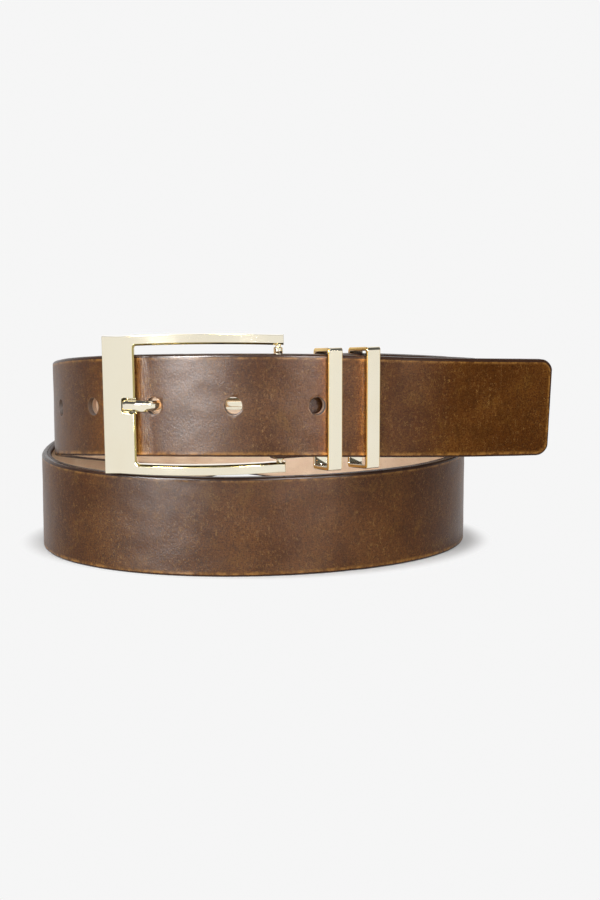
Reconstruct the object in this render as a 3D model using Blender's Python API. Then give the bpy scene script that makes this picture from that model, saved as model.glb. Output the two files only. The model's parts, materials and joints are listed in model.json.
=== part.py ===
"""Leather dress belt, buckled and stood on edge in a coil of two turns.

The strap is a grain-leather face over a leather lining.  It starts at its tip, passes through
the buckle at the front, drops as it goes round the back to the lower front loop, and climbs
round the back again to the buckle, where the face leather folds round the heel bar.  Lengths
are in millimetres up to the last step, which writes metres.  X runs along the buckle, the
front of the coil faces -Y, and Z is up.
"""
import math

import bpy
import numpy as np
from mathutils import Matrix, Vector

MM = 0.001

# Strap
STRAP_WIDTH = 32.0
FACE_THICK = 1.7
LINING_THICK = 1.2
LAYER_GAP = 0.3
LINING_INSET = 0.3
STRAP_THICK = FACE_THICK + LAYER_GAP + LINING_THICK
EDGE_CHAMFER = 0.45
TIP_CORNER = 4.4
STATION_STEP = 5.0

# Prong holes, measured along the strap from its tip
FIRST_HOLE = 87.0
HOLE_PITCH = 25.4
HOLE_COUNT = 5
HOLE_RADIUS = 2.75
USED_HOLE = 3
HOLE_START = 1.5

# Fold of the face leather round the heel bar, measured along the strap from the heel bar
FOLD_RADIUS = 3.6
FOLD_STEPS = 10
TURN_BACK_LENGTH = 66.0
TURN_BACK_THICK = 1.0
TURN_BACK_SETTLE = 9.0
LINING_START = 10.0
PRONG_SLOT_HEIGHT = 5.4
PRONG_SLOT_CORNER = 1.5
PRONG_SLOT_FRONT = 4.6
PRONG_SLOT_BACK = 5.4
SCREW_PLACES = (44.0, 57.0)

# Coil: angle from the front going by the left side, radius of the strap's outer face, and
# height of its lower edge; the table stops the edge where the height is below 0
COIL_STATIONS = (
    (-14, 74.4, 39.4), (6, 74.6, 39.8), (26, 74.2, 38.9), (48, 72.6, 36.5), (70, 70.4, 32.9),
    (92, 69.4, 28.6), (120, 67.9, 22.4), (150, 66.8, 16.4), (180, 66.8, 11.6), (212, 68.2, 7.0),
    (245, 71.4, 3.2), (270, 73.0, 0.8), (295, 70.2, -0.2), (320, 66.2, -0.2), (345, 64.6, -0.2),
    (370, 66.6, -0.2), (395, 71.0, -0.2), (420, 74.4, -0.2), (450, 73.7, 0.2), (478, 72.0, 3.0),
    (510, 71.0, 8.0), (540, 71.4, 13.6), (572, 73.0, 20.0), (602, 75.4, 26.0), (630, 76.8, 30.8),
    (655, 74.6, 34.4), (680, 70.8, 37.5), (700, 69.7, 38.8), (713, 70.3, 38.5),
)
TAIL_LENGTH = 87.2
TAIL_HEADING = 24.0
# Tail points: share of its length, how far it bows inwards, and how far it droops
TAIL_POINTS = ((1.0, 1.6, 5.3), (0.66, 0.6, 3.8), (0.33, 0.0, 2.0))

# Buckle, from the heel bar's axis: along the frame, outwards, and up
BAR_CENTRE_ANGLE = 33.9
FRAME_CLEARANCE = 0.7
FRAME_THICK = 3.4
FRAME_BOW = 7.0
FRAME_TILT = 0.8
FRAME_CAMBER = 0.65
FRAME_LIFT = 1.1
FRAME_HALF_HEIGHT = 21.5
FRAME_ARCH = 0.45
OPENING_HALF_HEIGHT = 18.35
FRAME_HEEL_END = 1.75
BAR_WIDTH = 10.8
FRAME_STEPS = 14
NOTCH_HEIGHT = 4.9
NOTCH_CORNER = 0.9
NOTCH_LENGTH = 4.6
NOTCH_DEPTH = 2.3
HEEL_BAR_RADIUS = 1.5
HEEL_PIVOT_RADIUS = 0.9
HEEL_PIVOT_LENGTH = 1.7
FIT_GAP = 0.3

# Prong
PRONG_WIDTH = 3.8
PRONG_THICK = 2.0
PRONG_NECK_WIDTH = 3.2
PRONG_NECK_THICK = 1.7
# The prong's middle line by the used hole: distance towards the far bar, and outwards
PRONG_BEHIND_HOLE = ((-9.0, -7.0), (-3.65, -6.4))
PRONG_THROUGH_HOLE = ((-2.0, -5.3), (-0.95, -2.9), (0.0, -0.4), (1.3, 1.45))
PRONG_RIDGE_SHARE = 0.42
PRONG_SIDE_SHARE = 0.1
PRONG_END_LIFT = 0.15
PRONG_EYE_OUTER = 3.0
PRONG_EYE_INNER = HEEL_BAR_RADIUS + FIT_GAP

# Faces that meet at more than this many degrees keep a crisp edge
METAL_SHARP_ANGLE = 25.0

# Keepers: how far from the heel bar they stand, and the gap over the strap's tip.  They
# stand upright and their tops and bottoms slope down inwards, in degrees.
KEEPER_PLACES = (("keeper_near", 15.6, 1.1), ("keeper_far", 28.6, 1.8))
KEEPER_SLOPE = 5.2
KEEPER_HEIGHT = 38.4
KEEPER_WIDTH = 4.8
KEEPER_WALL = 1.2
KEEPER_CORNER = 1.1
KEEPER_INNER_CORNER = 0.4
KEEPER_BEVEL = 0.35
KEEPER_FRONT_GAP = 0.4
KEEPER_INNER_DEPTH = 9.9

# Screw posts that hold the turn-back
SCREW_HEAD_RADIUS = 4.2
SCREW_HEAD_THICK = 0.9
SCREW_HEAD_EASE = 0.8
BARREL_RADIUS = 1.9
BARREL_BORE = 1.3
SCREW_SHANK_RADIUS = 1.0
SCREW_HOLE_RADIUS = 2.2
SCREW_SLOT_WIDTH = 0.9
SCREW_SLOT_DEPTH = 0.45

ROUND_SEGMENTS = 20

# Colour, roughness and metallic value of each material
MATERIALS = {
    "face_leather": ((0.17, 0.075, 0.035), 0.48, 0.0),
    "lining_leather": ((0.62, 0.40, 0.25), 0.62, 0.0),
    "pale_gold": ((0.86, 0.79, 0.62), 0.14, 1.0),
}


def smooth_step(value):
    """Ease from 0 to 1 as the value goes from 0 to 1."""
    value = min(max(value, 0.0), 1.0)
    return value * value * (3.0 - 2.0 * value)


def natural_spline(knots, values):
    """Return a function that follows the values smoothly through the knots."""
    count = len(knots)
    steps = np.diff(knots)
    matrix = np.eye(count)
    sides = np.zeros_like(values)
    for i in range(1, count - 1):
        matrix[i, i - 1:i + 2] = steps[i - 1], 2.0 * (steps[i - 1] + steps[i]), steps[i]
        sides[i] = 6.0 * ((values[i + 1] - values[i]) / steps[i]
                          - (values[i] - values[i - 1]) / steps[i - 1])
    bends = np.linalg.solve(matrix, sides)

    def follow(places):
        i = np.clip(np.searchsorted(knots, places) - 1, 0, count - 2)
        step = steps[i][:, None]
        low = (knots[i + 1] - places)[:, None] / step
        high = (places - knots[i])[:, None] / step
        curve = (low ** 3 - low) * bends[i] + (high ** 3 - high) * bends[i + 1]
        return low * values[i] + high * values[i + 1] + curve * step * step / 6.0

    return follow


def coil_point(angle, radius, height):
    """Turn a coil station into X, Y and Z."""
    turn = math.radians(angle)
    return np.array([-radius * math.sin(turn), -radius * math.cos(turn), height])


def route_points():
    """List the points of the strap's lower outer edge, from its tip to the heel bar."""
    root = coil_point(*COIL_STATIONS[0])
    heading = math.radians(TAIL_HEADING)
    along = np.array([math.cos(heading), math.sin(heading), 0.0])
    inwards = np.array([-math.sin(heading), math.cos(heading), 0.0])
    points = []
    for share, bow, droop in TAIL_POINTS:
        points.append(root + along * share * TAIL_LENGTH + inwards * bow
                      - np.array([0.0, 0.0, droop]))
    points.extend(coil_point(*station) for station in COIL_STATIONS)
    return np.array(points)


class Route:
    """The strap's lower outer edge, read by its distance from the tip."""

    FINE_STEP = 0.25

    def __init__(self):
        points = route_points()
        chords = np.linalg.norm(np.diff(points[:, :2], axis=0), axis=1)
        knots = np.concatenate(([0.0], np.cumsum(chords)))
        follow = natural_spline(knots, points)
        self.fine = follow(np.arange(0.0, knots[-1], self.FINE_STEP))
        self.fine[:, 2] = np.maximum(self.fine[:, 2], 0.0)
        steps = np.linalg.norm(np.diff(self.fine, axis=0), axis=1)
        self.places = np.concatenate(([0.0], np.cumsum(steps)))
        self.length = float(self.places[-1])

    def point(self, place):
        return Vector([float(np.interp(place, self.places, self.fine[:, k])) for k in range(3)])

    def frame(self, place):
        """Give the edge point with the directions outwards, along and up the strap."""
        low = min(max(place, 0.5), self.length - 0.5)
        along = (self.point(low + 0.5) - self.point(low - 0.5)).normalized()
        outwards = Vector((-along.y, along.x, 0.0)).normalized()
        return self.point(place), outwards, along, along.cross(outwards)

    def matrix(self, place, outwards=0.0, up=0.0):
        """Local axes at a place: X along the strap to the buckle, Y inwards, Z up."""
        point, out, along, rise = self.frame(place)
        origin = point + out * outwards + rise * up
        axes = Matrix((along, -out, rise)).transposed()
        return Matrix.Translation(origin) @ axes.to_4x4()

    def upright_matrix(self, place, up, slope):
        """As matrix(), but upright, with the crosswise direction sloping down inwards."""
        point, out, along, rise = self.frame(place)
        level = Vector((along.x, along.y, 0.0)).normalized()
        inwards = -out - Vector((0.0, 0.0, math.tan(math.radians(slope))))
        axes = Matrix((level, inwards, Vector((0.0, 0.0, 1.0)))).transposed()
        return Matrix.Translation(point + rise * up) @ axes.to_4x4()


def new_object(name, vertices, faces, material):
    """Make a mesh object from points in millimetres."""
    mesh = bpy.data.meshes.new(name)
    mesh.from_pydata([Vector(v) * MM for v in vertices], [], faces)
    mesh.validate()
    mesh.update()
    obj = bpy.data.objects.new(name, mesh)
    bpy.context.scene.collection.objects.link(obj)
    if material:
        mesh.materials.append(bpy.data.materials[material])
    return obj


def loft(name, rings, material=None, loops=False):
    """Join equal rings of points into one closed skin, capped unless it loops."""
    size = len(rings[0])
    vertices = [point for ring in rings for point in ring]
    faces = []
    joins = len(rings) if loops else len(rings) - 1
    for i in range(joins):
        here = i * size
        there = ((i + 1) % len(rings)) * size
        for k in range(size):
            after = (k + 1) % size
            faces.append((here + k, here + after, there + after, there + k))
    if not loops:
        last = (len(rings) - 1) * size
        faces.append(tuple(reversed(range(size))))
        faces.append(tuple(range(last, last + size)))
    obj = new_object(name, vertices, faces, material)
    face_outwards(obj)
    return obj


def face_outwards(obj):
    """Turn the skin over if its faces point inwards."""
    volume = 0.0
    mesh = obj.data
    for polygon in mesh.polygons:
        corners = [mesh.vertices[i].co for i in polygon.vertices]
        for k in range(1, len(corners) - 1):
            volume += corners[0].dot(corners[k].cross(corners[k + 1]))
    if volume < 0.0:
        mesh.flip_normals()


def circle(radius, segments=ROUND_SEGMENTS):
    turns = [2.0 * math.pi * k / segments for k in range(segments)]
    return [(radius * math.cos(t), radius * math.sin(t)) for t in turns]


def rounded_box(half_a, half_b, corner, steps=4):
    """Outline of a rectangle with round corners, centred on the origin."""
    outline = []
    for quarter, (side_a, side_b) in enumerate(((1, 1), (-1, 1), (-1, -1), (1, -1))):
        for k in range(steps + 1):
            turn = math.pi / 2.0 * (quarter + k / steps)
            outline.append((side_a * (half_a - corner) + corner * math.cos(turn),
                            side_b * (half_b - corner) + corner * math.sin(turn)))
    return outline


def lathe(name, profile, matrix, material=None, segments=ROUND_SEGMENTS):
    """Turn a closed profile of (radius, depth) points round the matrix's Y axis."""
    vertices = []
    faces = []
    rings = []
    for radius, depth in profile:
        if radius == 0.0:
            rings.append([len(vertices)])
            vertices.append(matrix @ Vector((0.0, depth, 0.0)))
            continue
        rings.append(list(range(len(vertices), len(vertices) + segments)))
        vertices.extend(matrix @ Vector((x, depth, z)) for x, z in circle(radius, segments))
    for first, second in zip(rings, rings[1:]):
        for k in range(segments):
            after = (k + 1) % segments
            if len(first) == 1:
                faces.append((first[0], second[k], second[after]))
            elif len(second) == 1:
                faces.append((first[after], first[k], second[0]))
            else:
                faces.append((first[k], second[k], second[after], first[after]))
    obj = new_object(name, vertices, faces, material)
    face_outwards(obj)
    return obj


def prism(name, outline, matrix, depth):
    """Cutter: an outline in the matrix's XZ plane, pushed both ways along its Y axis."""
    rings = [[matrix @ Vector((x, side * depth, z)) for x, z in outline] for side in (-1, 1)]
    return loft(name, rings)


def cut(obj, cutter):
    """Cut one closed skin from another and remove the cutter."""
    combine(obj, cutter, "DIFFERENCE")


def combine(obj, other, operation):
    """Apply a Boolean between two closed skins and remove the second one."""
    modifier = obj.modifiers.new("combine", "BOOLEAN")
    modifier.operation = operation
    modifier.object = other
    graph = bpy.context.evaluated_depsgraph_get()
    mesh = bpy.data.meshes.new_from_object(obj.evaluated_get(graph))
    obj.modifiers.clear()
    obj.data = mesh
    bpy.data.objects.remove(other)


def smooth(obj, angle=40.0):
    obj.data.shade_smooth()
    obj.data.set_sharp_from_angle(angle=math.radians(angle))


def strap_stations(start, end):
    """Even stations along the strap, with closer ones round the tip's corners."""
    corner = [TIP_CORNER * (1.0 - math.cos(math.pi / 2.0 * k / 4)) for k in range(5)]
    close = [place for place in corner if place >= start]
    first = close[-1] if close else start
    count = max(1, round((end - first) / STATION_STEP))
    return close[:-1] + list(np.linspace(first, end, count + 1))


def tip_inset(place):
    """How far the rounded tip corner pulls the edge in at a place."""
    if place >= TIP_CORNER:
        return 0.0
    return TIP_CORNER - math.sqrt(TIP_CORNER ** 2 - (TIP_CORNER - place) ** 2)


def face_section(point, outwards, rise, thick, inset):
    """Six-sided section of the face leather, from its outer face inwards."""
    low = inset
    high = STRAP_WIDTH - inset
    outline = ((0.0, low + EDGE_CHAMFER), (0.0, high - EDGE_CHAMFER), (EDGE_CHAMFER, high),
               (thick, high), (thick, low), (EDGE_CHAMFER, low))
    return [point - outwards * depth + rise * height for depth, height in outline]


def heel_matrix(route):
    """Axes of the buckle: X along the frame to its far bar, Y outwards, Z up the heel bar."""
    end, out, _, rise = route.frame(route.length)
    middle = STRAP_WIDTH / 2.0
    heel = end - out * FOLD_RADIUS + rise * (middle + FRAME_LIFT)
    place = place_at_angle(route, BAR_CENTRE_ANGLE)
    point, bar_out, _, _ = route.frame(place)
    bar = point + bar_out * (FRAME_CLEARANCE + FRAME_THICK / 2.0)
    chord = Vector((bar.x - heel.x, bar.y - heel.y, 0.0))
    along = chord.normalized()
    outwards = Vector((along.y, -along.x, 0.0))
    if outwards.dot(out) < 0.0:
        outwards = -outwards
    tilt = math.radians(FRAME_TILT)
    along = along * math.cos(tilt) - Vector((0.0, 0.0, math.sin(tilt)))
    up = along.cross(outwards)
    if up.z < 0.0:
        up = -up
    axes = Matrix((along, outwards, up)).transposed()
    return Matrix.Translation(heel) @ axes.to_4x4(), chord.length


def place_at_angle(route, angle):
    """Distance from the tip at which the first turn stands at an angle of the coil."""
    turn = math.radians(angle)
    aim = Vector((-math.sin(turn), -math.cos(turn)))
    return max(np.arange(90.0, 200.0, 0.25), key=lambda s: route.point(s).xy.normalized().dot(aim))


def hole_places():
    return [FIRST_HOLE + HOLE_PITCH * k for k in range(HOLE_COUNT)]


def cut_round_holes(obj, route, places, radius, reach):
    """Cut holes from just outside the strap to a depth that spares the layers behind it."""
    half = (reach + HOLE_START) / 2.0
    for place in places:
        matrix = route.matrix(place, outwards=half - reach, up=STRAP_WIDTH / 2.0)
        cut(obj, prism("hole", circle(radius), matrix, half))


def cut_all_holes(obj, route):
    """Cut the prong holes and the two holes for the screw posts."""
    cut_round_holes(obj, route, hole_places(), HOLE_RADIUS, STRAP_THICK + 2.0 * LAYER_GAP)
    screw_holes = [route.length - distance for distance in SCREW_PLACES]
    cut_round_holes(obj, route, screw_holes, SCREW_HOLE_RADIUS, 2.0 * STRAP_THICK)


def turn_back_thickness(distance):
    """The turn-back is pared down away from the heel bar."""
    return FACE_THICK + (TURN_BACK_THICK - FACE_THICK) * smooth_step(distance / TURN_BACK_SETTLE)


def turn_back_depth(distance):
    """Depth of the turn-back's outer face below the strap's outer face."""
    settled = STRAP_THICK + LAYER_GAP + turn_back_thickness(distance)
    lift = 2.0 * FOLD_RADIUS - STRAP_THICK - LAYER_GAP - FACE_THICK
    return settled + lift * (1.0 - smooth_step(distance / TURN_BACK_SETTLE))


def make_strap_face(route):
    """The grain leather, from the tip round the coil, round the heel bar and back."""
    rings = []
    for place in strap_stations(0.0, route.length):
        point, out, _, rise = route.frame(place)
        rings.append(face_section(point, out, rise, FACE_THICK, tip_inset(place)))
    end, out, along, rise = route.frame(route.length)
    centre = end - out * FOLD_RADIUS
    for k in range(1, FOLD_STEPS):
        turn = math.pi * k / FOLD_STEPS
        spoke = out * math.cos(turn) + along * math.sin(turn)
        rings.append(face_section(centre + spoke * FOLD_RADIUS, spoke, rise, FACE_THICK, 0.0))
    count = round(TURN_BACK_LENGTH / STATION_STEP)
    for k in range(count + 1):
        distance = TURN_BACK_LENGTH * k / count
        point, out, _, rise = route.frame(route.length - distance)
        edge = point - out * turn_back_depth(distance)
        thick = turn_back_thickness(distance)
        rings.append(face_section(edge, -out, rise, thick, 0.0))
    strap = loft("strap_outer", rings, "face_leather")
    cut_all_holes(strap, route)
    matrix, _ = heel_matrix(route)
    middle = (PRONG_SLOT_FRONT - PRONG_SLOT_BACK) / 2.0
    half = (PRONG_SLOT_FRONT + PRONG_SLOT_BACK) / 2.0
    outline = rounded_box(half, PRONG_SLOT_HEIGHT / 2.0, PRONG_SLOT_CORNER)
    slot = prism("slot", [(x + middle, z) for x, z in outline], matrix, FOLD_RADIUS + 1.5)
    cut(strap, slot)
    smooth(strap)
    return strap


def make_strap_lining(route):
    """The pale lining, glued inside the face leather from the tip to near the heel bar."""
    rings = []
    top_depth = FACE_THICK + LAYER_GAP
    for place in strap_stations(0.0, route.length - LINING_START):
        point, out, _, rise = route.frame(place)
        low = LINING_INSET + tip_inset(place)
        high = STRAP_WIDTH - low
        outline = ((top_depth, low), (top_depth, high), (STRAP_THICK, high), (STRAP_THICK, low))
        rings.append([point - out * depth + rise * height for depth, height in outline])
    lining = loft("strap_lining", rings, "lining_leather")
    cut_all_holes(lining, route)
    smooth(lining)
    return lining


def frame_bow(along, span):
    """How far the frame's middle line stands out from the line between its two bars."""
    return 4.0 * FRAME_BOW * along * (span - along) / span ** 2


def frame_arch(along, span):
    """The long sides arch away from each other by a little at their middles."""
    return 4.0 * FRAME_ARCH * along * (span - along) / span ** 2


def frame_camber(along, span):
    """Both long sides rise together by a little at their middles."""
    return 4.0 * FRAME_CAMBER * along * (span - along) / span ** 2


def bowed_block(name, matrix, span, stations, half_height, thick, material=None):
    """A block that follows the frame's bow, with its sides at an arching half height."""
    rings = []
    for along in stations:
        bow = frame_bow(along, span)
        middle = frame_camber(along, span)
        low = middle - half_height - frame_arch(along, span)
        high = middle + half_height + frame_arch(along, span)
        corners = ((-thick / 2.0, low), (thick / 2.0, low), (thick / 2.0, high),
                   (-thick / 2.0, high))
        rings.append([matrix @ Vector((along, bow + out, up)) for out, up in corners])
    return loft(name, rings, material)


def make_buckle_frame(matrix, span):
    """The far bar and two long sides in one bowed casting, open at the heel bar."""
    inner = span - BAR_WIDTH / 2.0
    sides = list(np.linspace(-FRAME_HEEL_END, inner, FRAME_STEPS))
    bar = list(np.linspace(inner, span + BAR_WIDTH / 2.0, 4))
    frame = bowed_block("buckle_frame", matrix, span, sides + bar[1:], FRAME_HALF_HEIGHT,
                        FRAME_THICK, "pale_gold")
    past_the_end = [-FRAME_HEEL_END - 2.0] + sides[1:]
    cut(frame, bowed_block("opening", matrix, span, past_the_end, OPENING_HALF_HEIGHT,
                           3.0 * FRAME_THICK))
    cut(frame, prong_notch(matrix, span, inner))
    for side in (-1.0, 1.0):
        cut(frame, heel_socket(matrix, side))
    smooth(frame, METAL_SHARP_ANGLE)
    return frame


def notch_floor(span):
    """How far out the floor of the prong's notch lies."""
    middle = span - BAR_WIDTH / 2.0 + NOTCH_LENGTH / 2.0
    return frame_bow(middle, span) + FRAME_THICK / 2.0 - NOTCH_DEPTH


def prong_notch(matrix, span, inner):
    """Cutter for the notch that takes the prong's tip in the far bar."""
    outline = rounded_box(NOTCH_LENGTH, NOTCH_HEIGHT / 2.0, NOTCH_CORNER)
    reach = 2.0 * NOTCH_DEPTH
    centre = matrix @ Matrix.Translation((inner, notch_floor(span) + reach, 0.0))
    return prism("notch", outline, centre, reach)


def heel_socket(matrix, side):
    """Cutter for the blind hole that takes one end of the heel bar."""
    turned = matrix @ Matrix.Translation((0.0, 0.0, side * OPENING_HALF_HEIGHT))
    turned = turned @ Matrix.Rotation(math.pi / 2.0, 4, "X")
    depth = HEEL_PIVOT_LENGTH + 2.0 * FIT_GAP
    return prism("socket", circle(HEEL_PIVOT_RADIUS + FIT_GAP), turned, depth)


def make_heel_bar(matrix):
    """Round bar with a thinner pivot at each end, which sits in the frame."""
    shoulder = OPENING_HALF_HEIGHT - 2.0 * FIT_GAP
    end = OPENING_HALF_HEIGHT + HEEL_PIVOT_LENGTH
    profile = [(0.0, -end), (HEEL_PIVOT_RADIUS, -end), (HEEL_PIVOT_RADIUS, -shoulder),
               (HEEL_BAR_RADIUS, -shoulder), (HEEL_BAR_RADIUS, shoulder),
               (HEEL_PIVOT_RADIUS, shoulder), (HEEL_PIVOT_RADIUS, end), (0.0, end)]
    upright = matrix @ Matrix.Rotation(math.pi / 2.0, 4, "X")
    bar = lathe("heel_bar", profile, upright, "pale_gold")
    smooth(bar)
    return bar


def prong_path(route, matrix, span):
    """Middle line of the prong, with its width and thickness, in the buckle's axes."""
    hole, out, along, rise = route.frame(hole_places()[USED_HOLE - 1])
    inverse = matrix.inverted()
    centre = inverse @ (hole + rise * STRAP_WIDTH / 2.0)
    forward = inverse.to_3x3() @ along
    outward = inverse.to_3x3() @ out

    def by_hole(ahead, outside, width, thick):
        point = centre + forward * ahead + outward * outside
        return point.x, point.y, width, thick

    rest = notch_floor(span) + FIT_GAP + PRONG_THICK / 2.0
    inner = span - BAR_WIDTH / 2.0
    return [
        (PRONG_EYE_INNER + 0.5, 0.0, PRONG_WIDTH, PRONG_THICK),
        (PRONG_EYE_OUTER + 8.0, -0.2, PRONG_WIDTH, PRONG_THICK),
        *(by_hole(ahead, outside, PRONG_WIDTH, PRONG_THICK)
          for ahead, outside in PRONG_BEHIND_HOLE),
        *(by_hole(ahead, outside, PRONG_NECK_WIDTH, PRONG_NECK_THICK)
          for ahead, outside in PRONG_THROUGH_HOLE),
        (inner - 0.4, rest + PRONG_END_LIFT, PRONG_WIDTH, PRONG_THICK),
        (inner + 2.0, rest, PRONG_WIDTH, PRONG_THICK),
        (inner + NOTCH_LENGTH - 2.0 * FIT_GAP, rest, PRONG_WIDTH, PRONG_THICK),
    ]


def prong_section(width, thick):
    """Flat below, with a narrow flat and two slopes on the side that shows."""
    half = width / 2.0
    side = PRONG_SIDE_SHARE * thick
    ridge = PRONG_RIDGE_SHARE * half
    return ((-thick / 2.0, -half), (-thick / 2.0, half), (side, half),
            (thick / 2.0, ridge), (thick / 2.0, -ridge), (side, -half))


def make_prong(route, matrix, span):
    """Faceted prong with an eye round the heel bar; it passes the used hole to the notch."""
    path = prong_path(route, matrix, span)
    rings = []
    for i, (x, y, width, thick) in enumerate(path):
        before = path[max(i - 1, 0)]
        after = path[min(i + 1, len(path) - 1)]
        slope = Vector((after[0] - before[0], after[1] - before[1])).normalized()
        rings.append([matrix @ Vector((x - slope.y * out, y + slope.x * out, up))
                      for out, up in prong_section(width, thick)])
    prong = loft("prong", rings, "pale_gold")
    half = PRONG_WIDTH / 2.0
    profile = [(PRONG_EYE_INNER, -half), (PRONG_EYE_OUTER, -half), (PRONG_EYE_OUTER, half),
               (PRONG_EYE_INNER, half), (PRONG_EYE_INNER, -half)]
    eye = lathe("eye", profile, matrix @ Matrix.Rotation(math.pi / 2.0, 4, "X"))
    combine(prong, eye, "UNION")
    smooth(prong, METAL_SHARP_ANGLE)
    return prong


def make_keeper(name, route, place, top_gap):
    """Rectangular metal loop round the strap's tip, its buckle end and the turn-back."""
    middle_up = (STRAP_WIDTH + top_gap + KEEPER_WALL) - KEEPER_HEIGHT / 2.0
    outer_half = KEEPER_INNER_DEPTH / 2.0 + KEEPER_WALL
    middle_in = KEEPER_INNER_DEPTH / 2.0 - KEEPER_FRONT_GAP
    matrix = route.upright_matrix(place, middle_up, KEEPER_SLOPE)
    matrix = matrix @ Matrix.Translation((0.0, middle_in, 0.0))
    half_width = KEEPER_WIDTH / 2.0
    rings = []
    for along, inset in ((-1.0, KEEPER_BEVEL), (-1.0, 0.0), (1.0, 0.0), (1.0, KEEPER_BEVEL)):
        reach = half_width if inset else half_width - KEEPER_BEVEL
        outline = rounded_box(outer_half - inset, KEEPER_HEIGHT / 2.0 - inset, KEEPER_CORNER)
        rings.append([matrix @ Vector((along * reach, y, z)) for y, z in outline])
    keeper = loft(name, rings, "pale_gold")
    hole = rounded_box(KEEPER_INNER_DEPTH / 2.0, KEEPER_HEIGHT / 2.0 - KEEPER_WALL,
                       KEEPER_INNER_CORNER)
    rings = [[matrix @ Vector((along * 2.0 * half_width, y, z)) for y, z in hole]
             for along in (-1.0, 1.0)]
    cut(keeper, loft("inside", rings))
    smooth(keeper, METAL_SHARP_ANGLE)
    return keeper


def make_screw_pair(name, route, distance):
    """A hollow post from outside and the screw that closes it from inside."""
    matrix = route.matrix(route.length - distance, up=STRAP_WIDTH / 2.0)
    back = turn_back_depth(distance)
    under = -FIT_GAP
    top = under - SCREW_HEAD_THICK
    profile = [(0.0, top), (SCREW_HEAD_RADIUS - SCREW_HEAD_EASE, top), (SCREW_HEAD_RADIUS, top + 0.4),
               (SCREW_HEAD_RADIUS, under), (BARREL_RADIUS, under), (BARREL_RADIUS, back),
               (BARREL_BORE, back), (BARREL_BORE, 0.5), (0.0, 0.5)]
    post = lathe(name + "_post", profile, matrix, "pale_gold")
    under = back + 1.5 * FIT_GAP
    top = under + SCREW_HEAD_THICK
    profile = [(0.0, top), (SCREW_HEAD_RADIUS - SCREW_HEAD_EASE, top), (SCREW_HEAD_RADIUS, top - 0.4),
               (SCREW_HEAD_RADIUS, under), (SCREW_SHANK_RADIUS, under),
               (SCREW_SHANK_RADIUS, 1.2), (0.0, 1.2)]
    screw = lathe(name + "_screw", profile, matrix, "pale_gold")
    slot = rounded_box(2.0 * SCREW_HEAD_RADIUS, SCREW_SLOT_WIDTH / 2.0, 0.1)
    cutter = matrix @ Matrix.Translation((0.0, top + 1.0 - SCREW_SLOT_DEPTH, 0.0))
    cut(screw, prism("slot", slot, cutter, 1.0))
    smooth(post)
    smooth(screw)
    return post, screw


def place_over_heel(route, heel):
    """Distance from the tip at which the upper strap passes in front of the heel bar."""
    return min(np.arange(60.0, 140.0, 0.1), key=lambda s: (route.point(s) - heel).xy.length)


def make_materials():
    for name, (colour, roughness, metallic) in MATERIALS.items():
        material = bpy.data.materials.get(name) or bpy.data.materials.new(name)
        material.use_nodes = True
        shader = material.node_tree.nodes["Principled BSDF"]
        shader.inputs["Base Color"].default_value = (*colour, 1.0)
        shader.inputs["Roughness"].default_value = roughness
        shader.inputs["Metallic"].default_value = metallic


def centre_on_floor(objects):
    """Move the pieces together so the belt stands on Z = 0, centred on the origin."""
    bpy.context.view_layer.update()
    corners = [obj.matrix_world @ Vector(c) for obj in objects for c in obj.bound_box]
    low = Vector([min(c[k] for c in corners) for k in range(3)])
    high = Vector([max(c[k] for c in corners) for k in range(3)])
    shift = Vector(((low.x + high.x) / 2.0, (low.y + high.y) / 2.0, low.z))
    for obj in objects:
        obj.data.transform(Matrix.Translation(-shift))
    return shift


def set_origin(obj, point):
    """Put an object's origin on its joint's axis without moving its shape."""
    obj.data.transform(Matrix.Translation(-point))
    obj.location = point


def main():
    for obj in list(bpy.data.objects):
        bpy.data.objects.remove(obj)
    make_materials()
    route = Route()
    matrix, span = heel_matrix(route)
    strap = make_strap_face(route)
    lining = make_strap_lining(route)
    frame = make_buckle_frame(matrix, span)
    heel_bar = make_heel_bar(matrix)
    prong = make_prong(route, matrix, span)
    objects = [strap, lining, frame, heel_bar, prong]
    over_heel = place_over_heel(route, matrix.translation)
    keepers = []
    for name, distance, top_gap in KEEPER_PLACES:
        place = over_heel - distance
        keepers.append((make_keeper(name, route, place, top_gap), route.point(place)))
    objects.extend(keeper for keeper, _ in keepers)
    for number, distance in enumerate(SCREW_PLACES, start=1):
        objects.extend(make_screw_pair(f"fold_screw_{number}", route, distance))
    shift = centre_on_floor(objects)
    for obj in (frame, heel_bar, prong):
        set_origin(obj, matrix.translation * MM - shift)
    for keeper, point in keepers:
        set_origin(keeper, point * MM - shift)


main()
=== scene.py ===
"""Looks of the leather belt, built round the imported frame.

The strap's route, the buckle's axes and the sizes repeat those of the part, in millimetres, and
placed() turns them into the frame's metres.  Strap coordinates are the distance along the strap
from its tip and the height above its lower edge; the leather's materials read them from UV maps
in centimetres.
"""
import json
import math

import bmesh
import bpy
import numpy as np
from mathutils import Matrix, Vector, noise

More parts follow.
